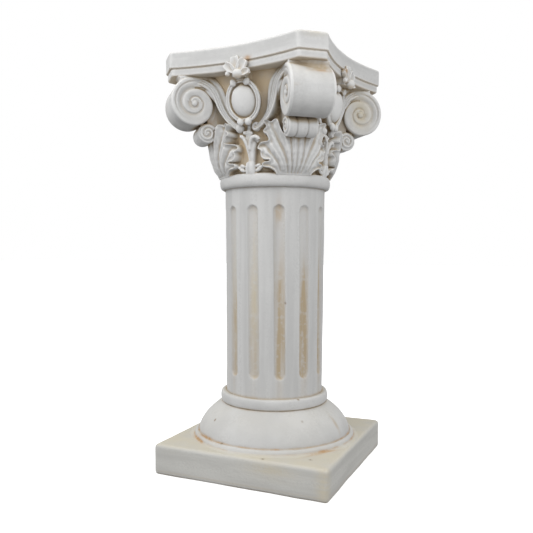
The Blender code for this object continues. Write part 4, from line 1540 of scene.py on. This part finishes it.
@dataclass
class Abacus(SubAssembly):
    """Slab with four horns and hollow sides over a fascia that is set back."""

    side: float = 0.3284
    horn_cut: float = 0.0367
    hollow: float = 0.0188
    edge: float = 0.0028
    setback: float = 0.0036
    corner: int = 5
    grain: float = 0.0012
    triangles: int = 110000

    def outline(self, inset: float, up: float) -> np.ndarray:
        """Horned outline at an inset, as local points of a ring.

        Args:
            inset: How far it lies inside the slab's faces.
            up: Its height.

        Returns:
            Local points.
        """
        half = self.side / 2 - inset
        tip = half - self.horn_cut + inset * (2.0 - math.sqrt(2.0))
        radius = (tip * tip + self.hollow ** 2) / (2 * self.hollow)
        sweep = math.asin(tip / radius)
        angle = np.linspace(-sweep, sweep, 40)
        out = half - self.hollow + radius - radius * np.cos(angle)
        edge = np.column_stack([radius * np.sin(angle), out, np.full(40, up)])
        return self.rounded(np.concatenate([world(edge, face * QUARTER) for face in range(FACES)]))

    def rounded(self, outline: np.ndarray, steps: int = 1200) -> np.ndarray:
        """Closed outline with its corners rounded by a running mean.

        Args:
            outline: Points of the outline.
            steps: How many even steps it is cut into.

        Returns:
            Its points, about a millimetre apart.
        """
        closed = np.concatenate([outline, outline[:1]])
        length = np.concatenate([[0.0], np.cumsum(np.linalg.norm(np.diff(closed, axis=0), axis=1))])
        even = np.linspace(0.0, length[-1], steps, endpoint=False)
        line = np.stack([np.interp(even, length, closed[:, axis]) for axis in range(3)], axis=-1)
        shifts = range(-self.corner, self.corner + 1)
        return np.mean([np.roll(line, shift, axis=0) for shift in shifts], axis=0)[::3]

    def shape(self, material: Material) -> Object:
        """Fascia and slab, turned with the casting at their height.

        Args:
            material: The piece's material. Not used here.

        Returns:
            The abacus's object.
        """
        foot, slab, back = CAST.fascia_foot, CAST.slab_foot, self.setback
        rim = round_over(self.edge)
        tiers = [
            (back + 0.0016, foot), (back + 0.0004, foot + 0.0012), (back, foot + 0.0030),
            (back, slab - 0.0024), (back + 0.0016, slab - 0.0010), (back + 0.0016, slab),
        ]
        tiers += [(0.0003 + inset * 0.3, slab + up * 0.3) for inset, up in rim]
        tiers += [(inset, CAST.top - up) for inset, up in reversed(rim)]
        clay = Clay()
        clay.loft(np.stack([self.outline(inset, up) for inset, up in tiers]))
        clay.points = [CAST.turned(clay.points[0])]
        return self.fused([clay.mesh(self.name)])


def round_axis(points: np.ndarray) -> tuple[np.ndarray, np.ndarray, np.ndarray]:
    """Azimuths in radians, distances from the axis and heights of world points."""
    return np.arctan2(points[:, 0], -points[:, 1]), np.hypot(points[:, 0], points[:, 1]), points[:, 2]


class Mark(Enum):
    """What a local mark is made of: the attribute that it adds to."""

    WASH = "stain"
    CREAM = "cream"
    RUST = "rust"
    # Pinholes as dark dots: wash in them and painted shade, with no hole in the mesh.
    PINHOLE_WASH_AND_SHADE = "pinhole_wash_and_shade"


@dataclass(frozen=True)
class Stain:
    """A local mark: where it is, how far it reaches across, out and up, and how strong it is."""

    azimuth: float
    radius: float
    up: float
    reach: Triple
    strength: float
    mark: Mark


@dataclass
class Weathering:
    """Works out where the wash stayed, and where shade, highlights and light are painted, from the shape of
    all pieces, and stores it on their vertices.
    """

    stains: list[Stain]
    voxel: float = 0.0025
    reach: float = 0.185
    margin: float = 0.03
    floor_line: float = 0.006
    rust_ring: Triple = (0.1452, 0.0648, 0.4)
    rust_skirt: Triple = (0.1534, 0.0580, 2.1)

    def occupied(self, items: list[Object]) -> tuple[np.ndarray, np.ndarray]:
        """Grid that is 1 inside the casting.

        Args:
            items: The pieces, closed meshes.

        Returns:
            The grid, and its lowest corner.
        """
        wide = self.reach + self.margin
        low = np.array([-wide, -wide, -self.margin])
        high = np.array([wide, wide, CAST.top + self.margin])
        grid = np.zeros(np.ceil((high - low) / self.voxel).astype(int), dtype=np.float32)
        down = Vector((0.0, 0.0, -1.0))
        for item in items:
            data = item.data
            corners = array_of(data.vertices, "co", 3)
            tree = BVHTree.FromPolygons(corners.tolist(), [face.vertices for face in data.polygons])
            first = np.floor((corners.min(axis=0) - low) / self.voxel).astype(int)
            last = np.ceil((corners.max(axis=0) - low) / self.voxel).astype(int)
            for column in range(first[0], last[0]):
                x = low[0] + (column + 0.5) * self.voxel
                for row in range(first[1], last[1]):
                    y = low[1] + (row + 0.5) * self.voxel
                    start, hits = Vector((x + 1e-5, y + 2e-5, 0.9)), []
                    while True:
                        spot = tree.ray_cast(start, down)[0]
                        if spot is None:
                            break
                        hits.append(spot.z)
                        start = Vector((start.x, start.y, spot.z - 1e-5))
                    for roof, ground in zip(hits[0::2], hits[1::2]):
                        bottom, top = (int(round((up - low[2]) / self.voxel)) for up in (ground, roof))
                        grid[column, row, bottom:top] = 1.0
        grid[:, :, :int(round(-low[2] / self.voxel))] = 1.0
        return grid, low

    @staticmethod
    def blurred(grid: np.ndarray, reach: int) -> np.ndarray:
        """Box mean of a grid, a number of cells to each side.

        Args:
            grid: The grid.
            reach: Cells to each side.

        Returns:
            The mean grid.
        """
        for axis in range(3):
            total = np.cumsum(grid, axis=axis, dtype=np.float64)
            size = grid.shape[axis]
            high = np.minimum(np.arange(size) + reach, size - 1)
            low = np.arange(size) - reach - 1
            part = np.take(total, high, axis=axis)
            below = np.take(total, np.maximum(low, 0), axis=axis)
            shape = [1, 1, 1]
            shape[axis] = size
            below = below * (low >= 0).reshape(shape)
            grid = ((part - below) / (2 * reach + 1)).astype(np.float32)
        return grid

    def sampled(self, grid: np.ndarray, low: np.ndarray, points: np.ndarray) -> np.ndarray:
        """Grid values at points, between cells.

        Args:
            grid: The grid.
            low: Its lowest corner.
            points: World points, one per row.

        Returns:
            A value for each point.
        """
        spot = (points - low) / self.voxel - 0.5
        spot = np.clip(spot, 0.0, np.array(grid.shape) - 1.001)
        cell = spot.astype(int)
        part = spot - cell
        value = np.zeros(len(points))
        for corner in range(8):
            step = np.array([corner & 1, corner >> 1 & 1, corner >> 2 & 1])
            weight = np.prod(np.where(step, part, 1.0 - part), axis=1)
            at = cell + step
            value += weight * grid[at[:, 0], at[:, 1], at[:, 2]]
        return value

    @staticmethod
    def hollowness(points: np.ndarray, normals: np.ndarray, edges: np.ndarray,
                   rounds: tuple[int, ...]) -> list[np.ndarray]:
        """How far smoothing would lift each vertex out of the skin, after given rounds of it.

        Args:
            points: Vertices.
            normals: Their normals.
            edges: Pairs of vertex numbers.
            rounds: After how many rounds to read it.

        Returns:
            Heights in metres, positive in hollows, one array for each number of rounds.
        """
        count = len(points)
        ends = np.concatenate([edges[:, 0], edges[:, 1]])
        others = np.concatenate([edges[:, 1], edges[:, 0]])
        degree = np.maximum(np.bincount(ends, minlength=count), 1)
        moved = points.copy()
        found = []
        for turn in range(1, max(rounds) + 1):
            total = [np.bincount(ends, weights=moved[others, axis], minlength=count) for axis in range(3)]
            mean = np.stack(total, axis=-1) / degree[:, None]
            moved = moved + 0.8 * (mean - moved)
            if turn in rounds:
                found.append(np.einsum("ij,ij->i", moved - points, normals))
        return found

    def marks(self, points: np.ndarray, mark: Mark) -> np.ndarray:
        """Strength of the local marks of one kind at points.

        Args:
            points: World points, one per row.
            mark: The kind of mark.

        Returns:
            Strengths from 0 to 1.
        """
        value = np.zeros(len(points))
        for stain in (stain for stain in self.stains if stain.mark is mark):
            centre = CAST.turned(world(polar(0.0, stain.radius, stain.up), stain.azimuth)[None, :])
            away = (points - centre) @ world(np.eye(3), stain.azimuth).T
            value += stain.strength * np.exp(-np.sum((away / np.array(stain.reach)) ** 2, axis=1))
        return np.clip(value, 0.0, 1.0)

    @staticmethod
    def bare_bell(points: np.ndarray) -> np.ndarray:
        """Share of each point that lies on the capital's bare bell, behind the carving.

        Args:
            points: World points, one per row.

        Returns:
            Shares from 0 to 1.
        """
        turn, radius, up = round_axis(points)
        swell = FaceCarving.corner_swell * np.sin(2 * (turn + CAST.turn_at(up))) ** 2
        bell = bell_radius(up) + swell * ramp(CAST.bell_waist, CAST.bell_shoulder, up)
        level = (up > CAST.bell_foot + 0.003) * (up < CAST.fascia_foot + 0.0047)
        return ramp(0.0060, 0.0010, radius - bell) * level

    def foot_lines(self, points: np.ndarray) -> np.ndarray:
        """Broken rusty lines where the dome meets the step and the step meets the plinth.

        Args:
            points: World points, one per row.

        Returns:
            Strengths from 0 up.
        """
        turn, radius, up = round_axis(points)
        value = np.zeros(len(points))
        front = np.exp(-((turn - math.radians(12.0)) / math.radians(34.0)) ** 2)
        for (ring, level, phase), amount in ((self.rust_ring, 1.0), (self.rust_skirt, 0.9 - 0.85 * front)):
            broken = 0.60 + 0.35 * np.sin(7 * turn + phase) * np.sin(3 * turn + 1.7 * phase)
            broken += 0.30 * np.sin(31 * turn + phase)
            broken += 0.25 * np.sin(83 * turn + 3 * phase) * np.sin(57 * turn)
            width = 0.0013 * (1.0 + 0.4 * np.sin(19 * turn + phase))
            line = np.exp(-((radius - ring) / width) ** 2 - ((up - level) / 0.0017) ** 2)
            value += amount * np.clip(broken, 0.0, 1.0) * line
        return value

    @staticmethod
    def flute_floors(points: np.ndarray) -> np.ndarray:
        """Share of each point that lies on the floor of a flute, streaked along it.

        Args:
            points: World points, one per row.

        Returns:
            Strengths from 0 to 1.
        """
        turn, radius, up = round_axis(points)
        foot, head = CAST.shaft_foot - Shaft.rooted[0], CAST.astragal_foot + Shaft.rooted[1]
        face = Shaft.foot_radius + (Shaft.head_radius - Shaft.foot_radius) * (up - foot) / (head - foot)
        floor = 0.8 * ramp(0.0004, 0.0024, face - radius) * (up > foot + 0.018) * (up < head - 0.020)
        uneven = 0.55 + 0.45 * np.sin(5 * turn + 2.0 + 9.0 * up) * np.sin(2 * turn + 0.6)
        return floor * uneven * (0.25 + 0.75 * ramp(0.44, 0.24, up))

    def tones(self, points: np.ndarray, normals: np.ndarray, edges: np.ndarray, close: np.ndarray,
              wide: np.ndarray) -> dict[str, np.ndarray]:
        """Strength of each tone of the finish at a piece's vertices, painted shade, painted highlight and
        painted light among them.

        Args:
            points: Vertices.
            normals: Their normals.
            edges: Pairs of vertex numbers.
            close: Share of plaster a little in front of each vertex.
            wide: Share of plaster further in front of each.

        Returns:
            The strengths by the names of the attributes.
        """
        fine, broad = self.hollowness(points, normals, edges, (5, 30))
        up = points[:, 2]
        carved = up > CAST.bell_foot - 0.002
        flat = np.clip(normals[:, 2], 0.0, 1.0)
        bare = self.bare_bell(points)
        # Undersides high on the capital, where the dark wash gives way to light tan, painted light.
        soffit = np.clip(-1.6 * normals[:, 2] - 0.35, 0.0, 1.0) * (up > CAST.bell_shoulder)
        shelter = np.clip((close - 0.26) * 1.6, 0.0, 1.0) + np.clip((wide - 0.27) * 3.4, 0.0, 1.3)
        groove = np.clip(fine / 0.0003, 0.0, 1.0) * 0.25 + np.clip(broad / 0.0012, 0.0, 1.0) * 0.60
        wash = np.clip((0.45 + 0.20 * carved) * groove + 0.95 * shelter - 0.14, 0.0, 1.0)
        # Convex ridges and edges, lightened in the finish: rubbed wash and painted highlight, weakest below
        # the capital.
        worn = (0.1 + 0.9 * carved) * np.clip(-fine / 0.00025, 0.0, 1.0)
        return {
            # Wash, thinned where the lighter tan takes over as painted light under the abacus and on the bare
            # bell.
            "wash": wash * (1.0 - 0.85 * soffit) * (1.0 - 0.85 * bare) * (up > self.floor_line),
            # deep: darkest brown where the plaster closes round, thicker wash and painted shade; kept off the
            # undersides and the bare bell.
            "deep": 0.60 * groove * shelter + 0.6 * ramp(0.80, 1.80, shelter) - soffit - 0.8 * bare,
            "edge": worn * np.clip(1.0 - shelter, 0.0, 1.0),
            "shelf": flat ** 2 * (up < 0.2) * np.where(up > 0.0620, 0.35, 1.0),
            "stain": self.marks(points, Mark.WASH) + self.flute_floors(points),
            "cream": self.marks(points, Mark.CREAM)
            + carved * np.clip(flat * (0.3 + shelter) + 0.3 * shelter, 0.0, 1.0),
            # tan: lighter wash under the abacus and on the bare bell, painted light over the real wash.
            "tan_wash_and_painted_light": 0.55 * soffit + bare,
            "rust": self.marks(points, Mark.RUST) + self.foot_lines(points),
            # Pinholes: dark dots of wash and painted shade.
            "pinhole_wash_and_shade": self.marks(points, Mark.PINHOLE_WASH_AND_SHADE),
        }

    def apply(self, items: list[Object]) -> None:
        """Stores where each tone of the finish lies on the vertices of all pieces.

        Args:
            items: The pieces, closed meshes with their materials.
        """
        grid, low = self.occupied(items)
        near, far = self.blurred(grid, 2), self.blurred(grid, 6)
        for item in items:
            data = item.data
            points, normals = (array_of(data.vertices, name, 3).astype(float) for name in ("co", "normal"))
            close = self.sampled(near, low, points + normals * 0.0040)
            wide = self.sampled(far, low, points + normals * 0.0100)
            edges = array_of(data.edges, "vertices", 2, np.int32)
            for name, value in self.tones(points, normals, edges, close, wide).items():
                value = np.clip(value, 0.0, 1.0).astype(np.float32)
                data.attributes.new(name, "FLOAT", "POINT").data.foreach_set("value", value)
            LOG.info("%s weathered", item.name)


@dataclass
class Viewpoint:
    """Camera at the photograph's place, its angles in degrees."""

    azimuth: float = 23.3235
    distance: float = 1.2160
    height: float = 0.4108
    yaw: float = 0.7522
    pitch: float = -1.6644
    roll: float = 0.2096
    focal_pixels: float = 629.6676
    image_pixels: int = 533
    sensor: float = 36.0

    def build(self) -> Object:
        """Makes the scene's camera.

        Returns:
            The camera object.
        """
        data = bpy.data.cameras.new("camera")
        data.sensor_width = self.sensor
        data.lens = self.sensor * self.focal_pixels / self.image_pixels
        camera = new_object("camera", data)
        heading, pitch, roll = map(math.radians, (self.azimuth + self.yaw, self.pitch, self.roll))
        near, rise = math.cos(pitch), math.sin(pitch)
        ahead = Vector((-math.sin(heading) * near, math.cos(heading) * near, rise))
        level = Vector((math.cos(heading), math.sin(heading), 0.0))
        above = level.cross(ahead)
        right = math.cos(roll) * level + math.sin(roll) * above
        up = -math.sin(roll) * level + math.cos(roll) * above
        turn = math.radians(self.azimuth)
        matrix = Matrix((right, up, -ahead)).transposed().to_4x4()
        matrix.translation = (math.sin(turn) * self.distance, -math.cos(turn) * self.distance, self.height)
        camera.matrix_world = matrix
        bpy.context.scene.camera = camera
        return camera


@dataclass
class Lamp:
    """Soft area light aimed at the casting: azimuth and elevation in degrees, watts and size."""

    name: str
    azimuth: float
    elevation: float
    distance: float
    power: float
    size: float

    def build(self) -> Object:
        """Makes the light.

        Returns:
            The light's object.
        """
        data = bpy.data.lights.new(self.name, "AREA")
        data.energy = self.power
        data.size = self.size
        lamp = new_object(self.name, data)
        turn, rise = math.radians(self.azimuth), math.radians(self.elevation)
        away = Vector((math.sin(turn) * math.cos(rise), -math.cos(turn) * math.cos(rise), math.sin(rise)))
        lamp.location = away * self.distance + Vector((0.0, 0.0, 0.4))
        lamp.rotation_euler = away.to_track_quat("Z", "Y").to_euler()
        return lamp


@dataclass
class Studio:
    """White surroundings that darken downwards, a plain pale floor and soft lights high at both sides."""

    ground: float = 0.34
    zenith: float = 0.70
    floor_half: float = 14.0
    lamps: tuple[Lamp, ...] = (
        Lamp("key_light", -33.0, 45.0, 1.28, 7.0, 0.9),
        Lamp("fill_light", 50.0, 30.0, 0.90, 2.0, 0.6),
    )

    def floor(self) -> Object:
        """Makes the floor, which lights nothing, with its material.

        Returns:
            The floor's object.
        """
        half = self.floor_half
        corners = [(-half, -half, 0.0), (half, -half, 0.0), (half, half, 0.0), (-half, half, 0.0)]
        data = bpy.data.meshes.new("floor")
        data.from_pydata(corners, [], [(0, 1, 2, 3)])
        floor = new_object("floor", data)
        material = bpy.data.materials.new("pale_floor")
        material.use_nodes = True
        Graph(material.node_tree).feed(material.node_tree.nodes["Principled BSDF"], {
            "Base Color": (0.60, 0.60, 0.60, 1.0), "Roughness": 0.9, "Specular IOR Level": 0.1,
            "Emission Color": (1.0, 1.0, 1.0, 1.0), "Emission Strength": 0.78,
        })
        data.materials.append(material)
        floor.visible_diffuse = False
        floor.visible_glossy = False
        floor.visible_shadow = False
        return floor

    def surroundings(self) -> None:
        """Makes the world: white round the horizon, darker overhead and below."""
        scene = bpy.context.scene
        if scene.world is None:
            scene.world = bpy.data.worlds.new("studio")
        scene.world.use_nodes = True
        graph = Graph(scene.world.node_tree)
        way = graph.node("ShaderNodeTexCoord").outputs["Generated"]
        height = graph.remap(graph.node("ShaderNodeSeparateXYZ", {0: way}).outputs["Z"], -1.0)
        strength = graph.node("ShaderNodeValToRGB", {0: height})
        levels = ((0.35, self.ground), (0.475, 1.0), (0.72, 1.0), (0.92, self.zenith))
        stops = strength.color_ramp.elements
        while len(stops) < len(levels):
            stops.new(0.5)
        for stop, (place, level) in zip(stops, levels):
            stop.position = place
            stop.color = (level, level, level, 1.0)
        background = scene.world.node_tree.nodes["Background"]
        graph.feed(background, {"Color": (1.0, 1.0, 1.0, 1.0), "Strength": strength.outputs[0]})

    def build(self) -> Object:
        """Makes the surroundings, lights and floor.

        Returns:
            The floor object.
        """
        self.surroundings()
        bpy.context.scene.view_settings.view_transform = "Standard"
        for lamp in self.lamps:
            lamp.build()
        return self.floor()


def stains() -> list[Stain]:
    """Patches of wash that stand out on the casting.

    Returns:
        The stains.
    """
    flute_floor = 0.0885
    streaks = [
        (0.0, 0.210, 0.060, 0.3), (-30.0, 0.300, 0.045, 0.9), (-30.0, 0.190, 0.060, 0.5),
        (30.0, 0.482, 0.022, 2.0), (30.0, 0.330, 0.040, 0.6), (30.0, 0.200, 0.070, 0.9),
        (60.0, 0.280, 0.055, 1.5), (60.0, 0.200, 0.060, 1.3), (62.5, 0.350, 0.035, 0.9),
        (90.0, 0.300, 0.070, 1.4), (90.0, 0.180, 0.040, 1.3),
    ]
    pale = [(0.0, 0.3200, 0.9), (-30.0, 0.3300, 0.6), (-60.0, 0.3300, 0.8)]
    pits = [(-33.8, 0.1290, 0.0952), (16.8, 0.1654, 0.0550), (43.7, 0.1769, 0.0550), (-16.0, 0.1450, 0.0640),
            (36.0, 0.0934, 0.3130), (49.4, 0.0990, 0.1390), (48.0, 0.1180, 0.1030)]
    patches = {
        Mark.WASH: [
            *((azimuth, flute_floor, up, (0.0062, 0.0035, tall), strength)
              for azimuth, up, tall, strength in streaks),
            (49.0, 0.1930, 0.7080, (0.026, 0.012, 0.0085), 1.3),
            (81.0, 0.1300, 0.0880, (0.004, 0.020, 0.016), 0.8),
        ],
        Mark.CREAM: [
            *((azimuth, flute_floor, up, (0.0070, 0.0040, 0.110), strength)
              for azimuth, up, strength in pale),
            (45.0, 0.2050, 0.7560, (0.022, 0.010, 0.005), 0.5),
            (-58.0, 0.1900, 0.0500, (0.050, 0.020, 0.008), 0.7),
            (20.0, 0.1790, 0.0400, (0.050, 0.020, 0.014), 0.7),
            (44.0, 0.2280, 0.0300, (0.012, 0.012, 0.040), 0.9),
            (122.0, 0.1670, 0.6750, (0.040, 0.020, 0.036), 0.8),
        ],
        Mark.RUST: [
            (50.0, 0.1990, 0.7000, (0.018, 0.008, 0.0022), 0.7),
            (9.0, 0.1460, 0.7330, (0.006, 0.010, 0.004), 1.0),
            (30.0, 0.0905, 0.4820, (0.0062, 0.0050, 0.022), 0.35),
            (84.0, 0.1505, 0.7270, (0.005, 0.006, 0.004), 1.0),
            (88.0, 0.1440, 0.7190, (0.004, 0.005, 0.005), 0.8),
            (-38.0, 0.1400, 0.6380, (0.014, 0.014, 0.005), 0.7),
            (-34.0, 0.1456, 0.0650, (0.030, 0.0030, 0.003), 1.0),
            (56.0, 0.1560, 0.0568, (0.032, 0.0032, 0.003), 1.0),
            (-42.0, 0.1536, 0.0578, (0.028, 0.0030, 0.003), 1.0),
            (-81.0, 0.1694, 0.0555, (0.010, 0.003, 0.003), 0.8),
        ],
        # Pinholes as dark dots of wash and painted shade, no hole cut.
        Mark.PINHOLE_WASH_AND_SHADE: [(*place, (0.0019, 0.0026, 0.0019), 1.5) for place in pits],
    }
    return [Stain(*patch, mark) for mark, group in patches.items() for patch in group]


def main() -> None:
    """Builds the casting's pieces in order, weathers them and sets them in the studio."""
    logging.basicConfig(level=logging.INFO, format="%(message)s")
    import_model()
    plain, upright, level = (AntiquePlaster(streak) for streak in (Streak.NONE, Streak.UPRIGHT, Streak.LEVEL))
    creamy = AntiquePlaster(Streak.LEVEL, plaster=(0.525, 0.52, 0.495))
    parts = [
        Plinth("plinth", creamy, wave=0.0030, wave_scale=12.0),
        Base("base", plain, wave=0.0016, wave_scale=26.0),
        Shaft("shaft", upright, wave=0.0018),
        Leafage("capital_leaves", plain, wave=0.0013, wave_scale=90.0),
        Volutes("volutes", plain, wave=0.0008, wave_scale=36.0),
        FaceCarving("face_carving", plain, wave=0.0010, wave_scale=80.0),
        Abacus("abacus", level, wave=0.0024, wave_scale=15.0),
    ]
    pieces = []
    for part in parts:
        piece = part.build()
        pieces.append(piece)
        LOG.info("%s built, %d faces", piece.name, len(piece.data.polygons))
    Weathering(stains()).apply(pieces)
    for piece in pieces:
        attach(piece, "root")
        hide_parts("pedestal")
    Viewpoint().build()
    Studio().build()


if __name__ == "__main__":
    main()
